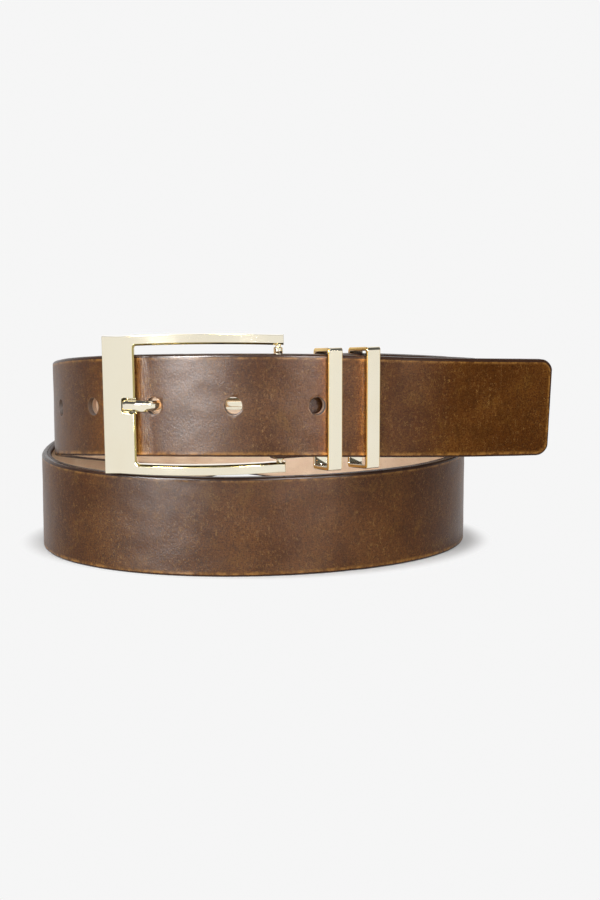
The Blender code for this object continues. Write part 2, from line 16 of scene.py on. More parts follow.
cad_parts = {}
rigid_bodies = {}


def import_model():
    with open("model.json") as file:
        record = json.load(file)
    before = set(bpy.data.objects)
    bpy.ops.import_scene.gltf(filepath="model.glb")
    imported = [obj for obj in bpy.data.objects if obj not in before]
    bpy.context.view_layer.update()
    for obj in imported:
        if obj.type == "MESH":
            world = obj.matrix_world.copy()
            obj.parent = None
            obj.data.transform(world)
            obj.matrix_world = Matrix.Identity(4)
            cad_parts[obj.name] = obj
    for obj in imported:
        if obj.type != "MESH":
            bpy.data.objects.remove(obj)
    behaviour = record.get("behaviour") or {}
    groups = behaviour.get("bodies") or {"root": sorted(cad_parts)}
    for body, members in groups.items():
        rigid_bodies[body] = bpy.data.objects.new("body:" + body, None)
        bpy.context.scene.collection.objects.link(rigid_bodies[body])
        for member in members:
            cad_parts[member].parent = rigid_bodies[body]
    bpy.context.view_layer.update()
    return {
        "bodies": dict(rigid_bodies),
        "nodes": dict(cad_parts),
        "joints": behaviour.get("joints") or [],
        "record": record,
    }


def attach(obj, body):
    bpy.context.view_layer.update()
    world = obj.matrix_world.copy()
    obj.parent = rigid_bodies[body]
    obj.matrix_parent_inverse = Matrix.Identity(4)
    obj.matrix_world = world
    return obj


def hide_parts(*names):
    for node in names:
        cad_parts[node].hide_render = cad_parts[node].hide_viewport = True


MM = 0.001
CM = 10.0

# Strap, as in the part
STRAP_WIDTH = 32.0
FACE_THICK = 1.7
STRAP_THICK = 3.2
LAYER_GAP = 0.3
TIP_CORNER = 4.4
FIRST_HOLE = 87.0
HOLE_PITCH = 25.4
HOLE_COUNT = 5
HOLE_RADIUS = 2.75
USED_HOLE = 3
FOLD_RADIUS = 3.6
TURN_BACK_LENGTH = 66.0
TURN_BACK_THICK = 1.0
TURN_BACK_SETTLE = 9.0
LINING_START = 10.0
PRONG_SLOT_HEIGHT = 5.4
PRONG_SLOT_CORNER = 1.5
PRONG_SLOT_FRONT = 4.6
PRONG_SLOT_BACK = 5.4
SCREW_PLACES = (44.0, 57.0)
COIL_STATIONS = (
    (-14, 74.4, 39.4), (6, 74.6, 39.8), (26, 74.2, 38.9), (48, 72.6, 36.5), (70, 70.4, 32.9),
    (92, 69.4, 28.6), (120, 67.9, 22.4), (150, 66.8, 16.4), (180, 66.8, 11.6), (212, 68.2, 7.0),
    (245, 71.4, 3.2), (270, 73.0, 0.8), (295, 70.2, -0.2), (320, 66.2, -0.2), (345, 64.6, -0.2),
    (370, 66.6, -0.2), (395, 71.0, -0.2), (420, 74.4, -0.2), (450, 73.7, 0.2), (478, 72.0, 3.0),
    (510, 71.0, 8.0), (540, 71.4, 13.6), (572, 73.0, 20.0), (602, 75.4, 26.0), (630, 76.8, 30.8),
    (655, 74.6, 34.4), (680, 70.8, 37.5), (700, 69.7, 38.8), (713, 70.3, 38.5),
)
TAIL_LENGTH = 87.2
TAIL_HEADING = 24.0
TAIL_POINTS = ((1.0, 1.6, 5.3), (0.66, 0.6, 3.8), (0.33, 0.0, 2.0))

# Buckle, as in the part
BAR_CENTRE_ANGLE = 33.9
FRAME_CLEARANCE = 0.7
FRAME_THICK = 3.4
FRAME_BOW = 7.0
FRAME_TILT = 0.8
FRAME_CAMBER = 0.65
FRAME_LIFT = 1.1
FRAME_HALF_HEIGHT = 21.5
FRAME_ARCH = 0.45
OPENING_HALF_HEIGHT = 18.35
FRAME_HEEL_END = 1.75
BAR_WIDTH = 10.8
NOTCH_HEIGHT = 4.9
NOTCH_LENGTH = 4.6
NOTCH_FLOOR_OUT = -0.7
PRONG_REST_GAP = 0.45
HEEL_BAR_RADIUS = 1.5
HEEL_PIVOT_RADIUS = 0.9
HEEL_PIVOT_LENGTH = 1.7
FIT_GAP = 0.3
PRONG_WIDTH = 3.8
PRONG_THICK = 2.0
PRONG_NECK_WIDTH = 3.2
PRONG_NECK_THICK = 1.7
# The prong's middle line by the used hole: distance towards the far bar, and outwards
PRONG_BEHIND_HOLE = ((-9.0, -7.0), (-3.65, -6.4))
PRONG_THROUGH_HOLE = ((-2.0, -5.3), (-0.95, -2.9), (0.0, -0.4), (1.3, 1.45))
PRONG_EYE_OUTER = 3.0
PRONG_EYE_INNER = HEEL_BAR_RADIUS + FIT_GAP
KEEPER_PLACES = (("keeper_near", 15.6, 1.1), ("keeper_far", 28.6, 1.8))
KEEPER_SLOPE = 5.2
KEEPER_HEIGHT = 38.4
KEEPER_WIDTH = 4.8
KEEPER_WALL = 1.2
KEEPER_CORNER = 1.1
KEEPER_FRONT_GAP = 0.4
KEEPER_INNER_DEPTH = 9.9
SCREW_HEAD_RADIUS = 4.2
SCREW_HEAD_THICK = 0.9
BARREL_RADIUS = 1.9
BARREL_BORE = 1.3
SCREW_SHANK_RADIUS = 1.0
SCREW_HOLE_RADIUS = 2.2
SCREW_HOLE_START = 1.5
SCREW_HOLE_REACH = 6.4
SCREW_SLOT_WIDTH = 0.9
SCREW_SLOT_DEPTH = 0.45

# Fineness and small shapes that only the looks have
STRAP_STEP = 1.25
TIP_PLACES = (0.0, 0.03, 0.12, 0.27, 0.5, 0.8, 1.15, 1.6, 2.1, 2.7, 3.3)
FOLD_STEPS = 16
FACE_ROWS = 27
BACK_ROWS = 12
ROUND_SEGMENTS = 56
FACE_SEAM = 1.76
LINING_SEAM = 1.84
FACE_EDGE_ROUND = 0.95
LINING_EDGE_ROUND = 0.6
FOLD_EDGE_ROUND = 0.6
SEAM_ROUND = 0.14
LEAST_FLAT = 0.01
LINING_INSET = 0.02
HOLE_CUTTER_START = 3.0
HOLE_MOUTH_ROUND = 0.24
METAL_ROUND = 0.26
PRONG_END_ROUND = 0.45
PRONG_EYE_EASE = 0.25
KEEPER_OUTER_STEPS = 5
KEEPER_INNER_STEPS = 3
KEEPER_INNER_ROUND = 0.2
KEEPER_INNER_CORNER = 0.4
SCREW_HEAD_EASE = 0.4
SCREW_END = 1.2
BARREL_FLOOR = 0.5
THREAD_PITCH = 0.5
THREAD_END = 1.6
THREAD_HALF_WIDTH = 0.15
THREAD_HEIGHT = 0.12
METAL_SHARP_ANGLE = 25.0
METAL_SMOOTH_ANGLE = 50.0
LEATHER_SMOOTH_ANGLE = 40.0
NOTCH_CORNER_ROUND = 0.9
OPENING_CORNER_ROUND = 0.7
OPENING_CHAMFER = 0.62
HEEL_BAR_CHAMFER = 0.22
NEAR = 0.05
EDGE_WOBBLE = 0.09
SURFACE_WOBBLE = 0.10
WRINKLE_PLACES = (139.5, 141.3, 143.4, 145.0, 147.2)
WRINKLE_DEPTH = 0.13
WRINKLE_WIDTH = 0.42
WRINKLE_REACH = 3.0

# Raw leather: light and dark tones, those of the face leather darkened as painted shade inside the
# holes.  Metals: two tones, then least and most roughness
# the face leather's cut walls, darkened well past raw tan: painted shade inside the holes, the prong
# slot and the screw holes
RAW_FACE_AND_HOLE_SHADE = ((0.10, 0.044, 0.015), (0.028, 0.011, 0.004))
RAW_LINING = ((0.62, 0.38, 0.22), (0.36, 0.19, 0.10))
GOLD = ((0.89, 0.83, 0.67), (0.87, 0.80, 0.63), 0.05, 0.085)
# olive tone for every chamfer and rounded edge of the frame: painted reflection and shade, darker
# than the plate
GOLD_EDGE_PAINTED_REFLECTION = ((0.44, 0.36, 0.15), (0.32, 0.26, 0.09), 0.10, 0.18)
# orange tone for the keepers' sides and rims: painted reflection of the brown leather
GOLD_SIDE_PAINTED_REFLECTION = ((0.74, 0.50, 0.17), (0.60, 0.38, 0.11), 0.08, 0.14)

# Camera
CAMERA_PLACE = (-0.0122, -0.6325, 0.1253)
CAMERA_PITCH = 8.46
CAMERA_YAW = 1.40
CAMERA_LENS = 73.2
CAMERA_SENSOR = 36.0


# Studio, in metres
FLOOR_HALF = 6.0
FLOOR_GREY = (0.70, 0.70, 0.70)
FLOOR_SHIFT = (0.0122, -0.0015, 0.0)
FLOOR_STRETCH = (1.0, 1.18, 1.0)
FLOOR_FADE = (0.0735, 0.083, 0.25, 1.0)
BACK_LIGHT = 0.92
BACK_FADE = (0.05, 0.75, 0.10, 1.10)
LIGHT_AIM = (0.0, 0.0, 0.04)
# Name, place, width, height, power, and whether it only shows in reflections
SOFTBOXES = (
    ("key_box", (0.05, -0.70, 1.05), 0.9, 0.5, 8.0, False),
    ("fill_box", (-0.30, -0.90, 0.35), 0.6, 0.5, 4.0, False),
    ("left_sheen", (-0.54, -0.75, 0.31), 0.32, 0.46, 115.0, True),
    ("right_sheen", (0.44, -0.80, 0.31), 0.22, 0.44, 32.0, True),
)


# ---------------- the strap's route

def smooth_step(value):
    """Ease from 0 to 1 as the value goes from 0 to 1."""
    value = min(max(value, 0.0), 1.0)
    return value * value * (3.0 - 2.0 * value)


def natural_spline(knots, values):
    """Return a function that follows the values smoothly through the knots."""
    count = len(knots)
    steps = np.diff(knots)
    matrix = np.eye(count)
    sides = np.zeros_like(values)
    for i in range(1, count - 1):
        matrix[i, i - 1:i + 2] = steps[i - 1], 2.0 * (steps[i - 1] + steps[i]), steps[i]
        sides[i] = 6.0 * ((values[i + 1] - values[i]) / steps[i]
                          - (values[i] - values[i - 1]) / steps[i - 1])
    bends = np.linalg.solve(matrix, sides)

    def follow(places):
        i = np.clip(np.searchsorted(knots, places) - 1, 0, count - 2)
        step = steps[i][:, None]
        low = (knots[i + 1] - places)[:, None] / step
        high = (places - knots[i])[:, None] / step
        curve = (low ** 3 - low) * bends[i] + (high ** 3 - high) * bends[i + 1]
        return low * values[i] + high * values[i + 1] + curve * step * step / 6.0

    return follow


def coil_point(angle, radius, height):
    turn = math.radians(angle)
    return np.array([-radius * math.sin(turn), -radius * math.cos(turn), height])


def route_points():
    """List the points of the strap's lower outer edge, from its tip to the heel bar."""
    root = coil_point(*COIL_STATIONS[0])
    heading = math.radians(TAIL_HEADING)
    along = np.array([math.cos(heading), math.sin(heading), 0.0])
    inwards = np.array([-math.sin(heading), math.cos(heading), 0.0])
    points = []
    for share, bow, droop in TAIL_POINTS:
        points.append(root + along * share * TAIL_LENGTH + inwards * bow
                      - np.array([0.0, 0.0, droop]))
    points.extend(coil_point(*station) for station in COIL_STATIONS)
    return np.array(points)


def axes_at(origin, *axes):
    """Matrix of an origin and three directions."""
    return Matrix.Translation(origin) @ Matrix(axes).transposed().to_4x4()


class Route:
    """The strap's lower outer edge, read by its distance from the tip."""

    FINE_STEP = 0.25

    def __init__(self):
        points = route_points()
        chords = np.linalg.norm(np.diff(points[:, :2], axis=0), axis=1)
        knots = np.concatenate(([0.0], np.cumsum(chords)))
        follow = natural_spline(knots, points)
        self.fine = follow(np.arange(0.0, knots[-1], self.FINE_STEP))
        self.fine[:, 2] = np.maximum(self.fine[:, 2], 0.0)
        steps = np.linalg.norm(np.diff(self.fine, axis=0), axis=1)
        self.places = np.concatenate(([0.0], np.cumsum(steps)))
        self.length = float(self.places[-1])

    def point(self, place):
        return Vector([float(np.interp(place, self.places, self.fine[:, k])) for k in range(3)])

    def frame(self, place):
        """Give the edge point with the directions outwards, along and up the strap."""
        low = min(max(place, 0.5), self.length - 0.5)
        along = (self.point(low + 0.5) - self.point(low - 0.5)).normalized()
        outwards = Vector((-along.y, along.x, 0.0)).normalized()
        return self.point(place), outwards, along, along.cross(outwards)

    def matrix(self, place, outwards=0.0, up=0.0):
        """Local axes at a place: X along the strap to the buckle, Y inwards, Z up."""
        point, out, along, rise = self.frame(place)
        return axes_at(point + out * outwards + rise * up, along, -out, rise)

    def upright_matrix(self, place, up, slope):
        """As matrix(), but upright, with the crosswise direction sloping down inwards."""
        point, out, along, rise = self.frame(place)
        level = Vector((along.x, along.y, 0.0)).normalized()
        inwards = -out - Vector((0.0, 0.0, math.tan(math.radians(slope))))
        return axes_at(point + rise * up, level, inwards, Vector((0.0, 0.0, 1.0)))


def place_at_angle(route, angle):
    """Distance from the tip at which the first turn stands at an angle of the coil."""
    turn = math.radians(angle)
    aim = Vector((-math.sin(turn), -math.cos(turn)))
    return max(np.arange(90.0, 200.0, 0.25), key=lambda s: route.point(s).xy.normalized().dot(aim))


def heel_matrix(route):
    """Axes of the buckle: X along the frame to its far bar, Y outwards, Z up the heel bar."""
    end, out, _, rise = route.frame(route.length)
    heel = end - out * FOLD_RADIUS + rise * (STRAP_WIDTH / 2.0 + FRAME_LIFT)
    point, bar_out, _, _ = route.frame(place_at_angle(route, BAR_CENTRE_ANGLE))
    bar = point + bar_out * (FRAME_CLEARANCE + FRAME_THICK / 2.0)
    chord = Vector((bar.x - heel.x, bar.y - heel.y, 0.0))
    along = chord.normalized()
    outwards = Vector((along.y, -along.x, 0.0))
    if outwards.dot(out) < 0.0:
        outwards = -outwards
    tilt = math.radians(FRAME_TILT)
    along = along * math.cos(tilt) - Vector((0.0, 0.0, math.sin(tilt)))
    up = along.cross(outwards)
    if up.z < 0.0:
        up = -up
    return axes_at(heel, along, outwards, up), chord.length


def place_over_heel(route, heel):
    """Distance from the tip at which the upper strap passes in front of the heel bar."""
    return min(np.arange(60.0, 140.0, 0.1), key=lambda s: (route.point(s) - heel).xy.length)


def turn_back_thickness(distance):
    return FACE_THICK + (TURN_BACK_THICK - FACE_THICK) * smooth_step(distance / TURN_BACK_SETTLE)


def turn_back_depth(distance):
    """Depth of the turn-back's outer face below the strap's outer face."""
    settled = STRAP_THICK + LAYER_GAP + turn_back_thickness(distance)
    lift = 2.0 * FOLD_RADIUS - STRAP_THICK - LAYER_GAP - FACE_THICK
    return settled + lift * (1.0 - smooth_step(distance / TURN_BACK_SETTLE))


# ---------------- meshes

class Place:
    """The move from the design's millimetres to the frame's metres."""

    shift = Vector()


def placed(point):
    return Vector(point) * MM - Place.shift


def add_object(name, data):
    obj = bpy.data.objects.new(name, data)
    bpy.context.scene.collection.objects.link(obj)
    return obj


def new_object(name, vertices, faces, materials):
    """A closed skin with its faces outwards."""
    mesh = bpy.data.meshes.new(name)
    mesh.from_pydata([placed(v) for v in vertices], [], faces)
    mesh.update()
    for material in materials:
        mesh.materials.append(material)
    work = bmesh.new()
    work.from_mesh(mesh)
    if work.calc_volume(signed=True) < 0.0:
        mesh.flip_normals()
    work.free()
    return add_object(name, mesh)


def loft(name, rings, materials, loops=False):
    """Join equal rings of points into one closed skin, capped unless it loops."""
    count = len(rings)
    size = len(rings[0])
    faces = []
    for i in range(count if loops else count - 1):
        here = i * size
        there = (i + 1) % count * size
        for k in range(size):
            after = (k + 1) % size
            faces.append((here + k, here + after, there + after, there + k))
    if not loops:
        faces.append(tuple(reversed(range(size))))
        faces.append(tuple(range((count - 1) * size, count * size)))
    return new_object(name, [point for ring in rings for point in ring], faces, materials)


def quarter_turns(steps):
    """Even angles from nothing to a right angle, in radians."""
    return [math.pi / 2.0 * k / steps for k in range(steps + 1)]


def circle(radius, segments=ROUND_SEGMENTS):
    turns = [2.0 * math.pi * k / segments for k in range(segments)]
    return [(radius * math.cos(t), radius * math.sin(t)) for t in turns]


def rounded_box(half_a, half_b, corner, steps=8):
    """Outline of a rectangle with round corners, centred on the origin."""
    outline = []
    for corners, (side_a, side_b) in enumerate(((1, 1), (-1, 1), (-1, -1), (1, -1))):
        for step in quarter_turns(steps):
            turn = math.pi / 2.0 * corners + step
            outline.append((side_a * (half_a - corner) + corner * math.cos(turn),
                            side_b * (half_b - corner) + corner * math.sin(turn)))
    return outline


def lathe(name, profile, matrix, materials, segments=ROUND_SEGMENTS):
    """Turn a closed profile of (radius, depth) points round the matrix's Y axis."""
    vertices = []
    faces = []
    rings = []
    for radius, depth in profile:
        ring = circle(radius, segments) if radius > 0.0 else [(0.0, 0.0)]
        rings.append(range(len(vertices), len(vertices) + len(ring)))
        vertices.extend(matrix @ Vector((x, depth, z)) for x, z in ring)
    for first, second in zip(rings, rings[1:]):
        for k in range(segments):
            after = (k + 1) % segments
            if len(first) == 1:
                faces.append((first[0], second[k], second[after]))
            elif len(second) == 1:
                faces.append((first[after], first[k], second[0]))
            else:
                faces.append((first[k], second[k], second[after], first[after]))
    return new_object(name, vertices, faces, materials)


def prism(name, outline, matrix, depth, materials=()):
    """An outline in the matrix's XZ plane, pushed both ways along its Y axis."""
    rings = [[matrix @ Vector((x, side * depth, z)) for x, z in outline] for side in (-1, 1)]
    return loft(name, rings, materials)


def modify(obj, kind, **settings):
    """Apply one modifier to the object's mesh."""
    modifier = obj.modifiers.new(kind, kind)
    for key, value in settings.items():
        setattr(modifier, key, value)
    graph = bpy.context.evaluated_depsgraph_get()
    mesh = bpy.data.meshes.new_from_object(obj.evaluated_get(graph))
    obj.modifiers.clear()
    obj.data = mesh


def combine(obj, other, operation):
    """Apply a Boolean between two closed skins and remove the second one."""
    modify(obj, "BOOLEAN", operation=operation, object=other, material_mode="TRANSFER")
    bpy.data.objects.remove(other)


def join(objects):
    """Join several skins into the first one."""
    with bpy.context.temp_override(active_object=objects[0], selected_editable_objects=objects):
        bpy.ops.object.join()
    return objects[0]


def flatten_normals(obj):
    """Shade smooth, with the broad faces kept flat right up to their rounded edges."""
    smooth(obj, METAL_SMOOTH_ANGLE)
    modify(obj, "WEIGHTED_NORMAL", mode="FACE_AREA", weight=100, keep_sharp=True)


def smooth(obj, angle=LEATHER_SMOOTH_ANGLE):
    obj.data.shade_smooth()
    obj.data.set_sharp_from_angle(angle=math.radians(angle))


# ---------------- leather

def quarter(centre, radius, start, steps):
    """Points (depth, height) on a quarter circle, from an angle in degrees."""
    turns = [math.radians(start) + step for step in quarter_turns(steps)]
    return [(centre[0] - radius * math.cos(t), centre[1] + radius * math.sin(t)) for t in turns]


def layer_outline(top, bottom, low, high, top_round, bottom_round):
    """Section of one layer as (depth, height), from its outer face round its upper edge."""
    near = top + top_round
    far = bottom - bottom_round
    face = np.linspace(low + top_round, high - top_round, FACE_ROWS + 1)[1:-1]
    back = np.linspace(high - bottom_round, low + bottom_round, BACK_ROWS + 1)[1:-1]
    return (quarter((near, low + top_round), top_round, -90.0, 5)
            + [(top, height) for height in face]
            + quarter((near, high - top_round), top_round, 0.0, 5)
            + quarter((far, high - bottom_round), bottom_round, 90.0, 4)
            + [(bottom, height) for height in back]
            + quarter((far, low + bottom_round), bottom_round, 180.0, 4))


def outline_distance(place, height, end):
    """How far a point of the strap is inside its outline, which has a round-cornered tip."""
    edge = min(height, STRAP_WIDTH - height)
    if place < TIP_CORNER and edge < TIP_CORNER:
        return TIP_CORNER - math.hypot(TIP_CORNER - place, TIP_CORNER - edge)
    return min(edge, place, end - place)


def strap_places(end):
    """Even places along the strap, closer round the tip's corners and its rounded end."""
    count = round((end - TIP_CORNER) / STRAP_STEP)
    return TIP_PLACES + tuple(np.linspace(TIP_CORNER, end, count + 1))


def rounded_off(place, reach):
    """How much a round corner of a radius takes off at a distance from the strap's end."""
    if place >= reach:
        return 0.0
    return reach - math.sqrt(max(0.0, reach ** 2 - (reach - place) ** 2))


def surface_wobble(place, height):
    """Small swells of the leather, and the creases beside the buckle's far bar."""
    swell = noise.noise(Vector((place / 11.0, height / 8.0, 0.3))) * SURFACE_WOBBLE
    swell += noise.noise(Vector((place / 4.0, height / 6.0, 7.7))) * SURFACE_WOBBLE * 0.3
    if WRINKLE_PLACES[0] - WRINKLE_REACH < place < WRINKLE_PLACES[-1] + WRINKLE_REACH:
        for k, crease in enumerate(WRINKLE_PLACES):
            sway = 0.9 * noise.noise(Vector((height / 7.0, crease, 1.0)))
            fade = 0.6 + 0.5 * noise.noise(Vector((height / 9.0, crease * 3.0, 5.0)))
            swell += WRINKLE_DEPTH * fade * math.exp(-((place - crease - sway) / WRINKLE_WIDTH) ** 2)
    return swell


def edge_wobble(place, side):
    return EDGE_WOBBLE * noise.noise(Vector((place / 13.0, side * 9.0, 2.0)))


def leather_skin(name, route, sections, materials):
    """Loft (points, strap coordinates) sections, and map places and distances to the edge."""
    obj = loft(name, [points for points, _ in sections], materials)
    coordinates = [value for _, values in sections for value in values]
    end = route.length + math.pi * FOLD_RADIUS + TURN_BACK_LENGTH
    mesh = obj.data
    strap_map = mesh.uv_layers.new(name="strap")
    edge_map = mesh.uv_layers.new(name="edge")
    for loop in mesh.loops:
        place, height = coordinates[loop.vertex_index]
        strap_map.uv[loop.index].vector = (place / CM, height / CM)
        edge_map.uv[loop.index].vector = (outline_distance(place, height, end) / CM, 0.0)
    return obj


def flat_section(route, place, top, bottom, top_round, bottom_round, inset, wobble):
    """One section of a layer that follows the strap, with the strap coordinates."""
    point, out, _, rise = route.frame(place)
    corner = inset + rounded_off(place, TIP_CORNER)
    half = (bottom - top) / 2.0
    shave = rounded_off(place, half - 2.0 * LEAST_FLAT)
    most = half - shave - LEAST_FLAT
    outline = layer_outline(top + shave, bottom - shave, corner, STRAP_WIDTH - corner,
                            min(top_round, most), min(bottom_round, most))
    points = []
    for depth, height in outline:
        on_face = wobble and depth < top + shave + 1e-6
        swell = abs(surface_wobble(place, height)) if on_face else 0.0
        from_middle = height - STRAP_WIDTH / 2.0
        side = math.copysign(1.0, from_middle)
        inwards = abs(edge_wobble(place, side)) * smooth_step(2.0 * abs(from_middle) / STRAP_WIDTH)
        points.append(point - out * (depth + swell) + rise * (height - side * inwards))
    return points, [(place, height) for _, height in outline]


def fold_sections(route):
    """Sections of the face leather round the heel bar and back along the inside."""
    sections = []
    end, out, along, rise = route.frame(route.length)
    centre = end - out * FOLD_RADIUS
    outline = layer_outline(0.0, FACE_THICK, 0.0, STRAP_WIDTH, FOLD_EDGE_ROUND, SEAM_ROUND)
    for k in range(1, FOLD_STEPS):
        turn = math.pi * k / FOLD_STEPS
        spoke = out * math.cos(turn) + along * math.sin(turn)
        place = route.length + turn * FOLD_RADIUS
        points = [centre + spoke * (FOLD_RADIUS - depth) + rise * height
                  for depth, height in outline]
        sections.append((points, [(place, height) for _, height in outline]))
    count = round(TURN_BACK_LENGTH / STRAP_STEP)
    for distance in np.linspace(0.0, TURN_BACK_LENGTH, count + 1):
        point, out, _, rise = route.frame(route.length - distance)
        thick = turn_back_thickness(distance)
        outline = layer_outline(0.0, thick, 0.0, STRAP_WIDTH, min(FOLD_EDGE_ROUND, thick * 0.45),
                                SEAM_ROUND)
        edge = point - out * turn_back_depth(distance)
        place = route.length + math.pi * FOLD_RADIUS + distance
        points = [edge + out * depth + rise * height for depth, height in outline]
        sections.append((points, [(place, height) for _, height in outline]))
    return sections


def hole_cutter(matrix, material):
    """A round cutter whose front end flares, so the hole gets a rounded mouth."""
    wide = HOLE_RADIUS + HOLE_MOUTH_ROUND
    back = STRAP_THICK + 2.0 * LAYER_GAP
    profile = [(0.0, -HOLE_CUTTER_START), (wide, -HOLE_CUTTER_START), (wide, 0.0)]
    for turn in quarter_turns(5)[1:]:
        profile.append((wide - HOLE_MOUTH_ROUND * math.sin(turn),
                        HOLE_MOUTH_ROUND * (1.0 - math.cos(turn))))
    profile.extend([(HOLE_RADIUS, back), (0.0, back)])
    return lathe("cutter", profile, matrix, [material], 48)


def cut_holes(obj, route, material):
    """Cut the prong holes and the screw posts' holes through one layer."""
    cutters = []
    for k in range(HOLE_COUNT):
        matrix = route.matrix(FIRST_HOLE + HOLE_PITCH * k, up=STRAP_WIDTH / 2.0)
        cutters.append(hole_cutter(matrix, material))
    half = (SCREW_HOLE_REACH + SCREW_HOLE_START) / 2.0
    for distance in SCREW_PLACES:
        matrix = route.matrix(route.length - distance, outwards=half - SCREW_HOLE_REACH,
                              up=STRAP_WIDTH / 2.0)
        cutters.append(prism("cutter", circle(SCREW_HOLE_RADIUS, 40), matrix, half, [material]))
    combine(obj, join(cutters), "DIFFERENCE")


def make_face(route, matrix, materials):
    """The grain leather, from the tip round the coil, round the heel bar and back."""
    sections = [flat_section(route, place, 0.0, FACE_SEAM, FACE_EDGE_ROUND, SEAM_ROUND, 0.0, True)
                for place in strap_places(route.length)]
    sections.extend(fold_sections(route))
    face = leather_skin("strap_face", route, sections, materials[:1])
    cut_holes(face, route, materials[1])
    middle = (PRONG_SLOT_FRONT - PRONG_SLOT_BACK) / 2.0
    half = (PRONG_SLOT_FRONT + PRONG_SLOT_BACK) / 2.0
    outline = [(x + middle, z)
               for x, z in rounded_box(half, PRONG_SLOT_HEIGHT / 2.0, PRONG_SLOT_CORNER)]
    slot = prism("slot", outline, matrix, FOLD_RADIUS + PRONG_SLOT_CORNER, materials[1:2])
    combine(face, slot, "DIFFERENCE")
    smooth(face)
    return face


def make_lining(route, materials):
    """The pale lining inside the face leather, with its own painted edges."""
    sections = [flat_section(route, place, LINING_SEAM, STRAP_THICK, SEAM_ROUND,
                             LINING_EDGE_ROUND, LINING_INSET, False)
                for place in strap_places(route.length - LINING_START)]
    lining = leather_skin("lining_skin", route, sections, materials[:1])
    cut_holes(lining, route, materials[1])
    smooth(lining)
    return lining


# ---------------- metal

def bulge(height, along, span):
    """A shallow arc over the frame's length, highest at its middle."""
    return 4.0 * height * along * (span - along) / span ** 2


class FrameGrid:
    """Grid of cells on the frame's face, raised to a front level, a notch floor or nothing."""

    def __init__(self, matrix, span):
        inner = span - BAR_WIDTH / 2.0
        notch_end = inner + NOTCH_LENGTH
        self.matrix = matrix
        self.span = span
        self.alongs = (list(np.linspace(-FRAME_HEEL_END, inner, 49))
                       + list(np.linspace(inner, notch_end, 6))[1:]
                       + list(np.linspace(notch_end, span + BAR_WIDTH / 2.0, 7))[1:])
        self.ups = (-FRAME_HALF_HEIGHT, -OPENING_HALF_HEIGHT, -NOTCH_HEIGHT / 2.0,
                    NOTCH_HEIGHT / 2.0, OPENING_HALF_HEIGHT, FRAME_HALF_HEIGHT)
        self.inner = inner
        self.notch_end = notch_end
        self.points = []
        self.index = {}

    def level(self, i, j):
        """Front level of a cell: 2 on the face, 1 on the notch's floor, 0 where it is open."""
        if not (0 <= i < len(self.alongs) - 1 and 0 <= j < len(self.ups) - 1):
            return 0
        middle = (self.alongs[i] + self.alongs[i + 1]) / 2.0
        if j in (0, 4):
            return 2
        if middle < self.inner:
            return 0
        return 1 if j == 2 and middle < self.notch_end else 2

    def corner(self, i, j, level):
        """Number of the point at a grid corner, at the back, the notch floor or the front."""
        key = (i, j, level)
        if key not in self.index:
            along = self.alongs[i]
            up = self.ups[j]
            if abs(up) > NOTCH_HEIGHT:
                up += math.copysign(bulge(FRAME_ARCH, along, self.span), up)
                up += bulge(FRAME_CAMBER, along, self.span)
            out = (-FRAME_THICK / 2.0, NOTCH_FLOOR_OUT, FRAME_THICK / 2.0)[level]
            self.index[key] = len(self.points)
            out += bulge(FRAME_BOW, along, self.span)
            self.points.append(self.matrix @ Vector((along, out, up)))
        return self.index[key]

    def faces(self):
        faces = []
        for i in range(len(self.alongs) - 1):
            for j in range(len(self.ups) - 1):
                level = self.level(i, j)
                if level == 0:
                    continue
                ring = ((i, j), (i, j + 1), (i + 1, j + 1), (i + 1, j))
                faces.append([self.corner(*at, level) for at in ring])
                faces.append([self.corner(*at, 0) for at in reversed(ring)])
                sides = ((i - 1, j), (i, j + 1), (i + 1, j), (i, j - 1))
                for k, beside in enumerate(sides):
                    first = ring[k]
                    second = ring[(k + 1) % 4]
                    for low in range(self.level(*beside), level):
                        faces.append([self.corner(*first, low), self.corner(*second, low),
                                      self.corner(*second, low + 1), self.corner(*first, low + 1)])
        return faces


def chamfer_edges(obj, wanted, width, segments, slot):
    """Bevel the edges that a test picks, in one go."""
    work = bmesh.new()
    work.from_mesh(obj.data)
    edges = [edge for edge in work.edges if edge.calc_face_angle(0.0) > 0.5 and wanted(edge)]
    bmesh.ops.bevel(work, geom=edges, offset=width * MM, segments=segments, profile=0.5,
                    affect="EDGES", material=slot)
    work.to_mesh(obj.data)
    work.free()


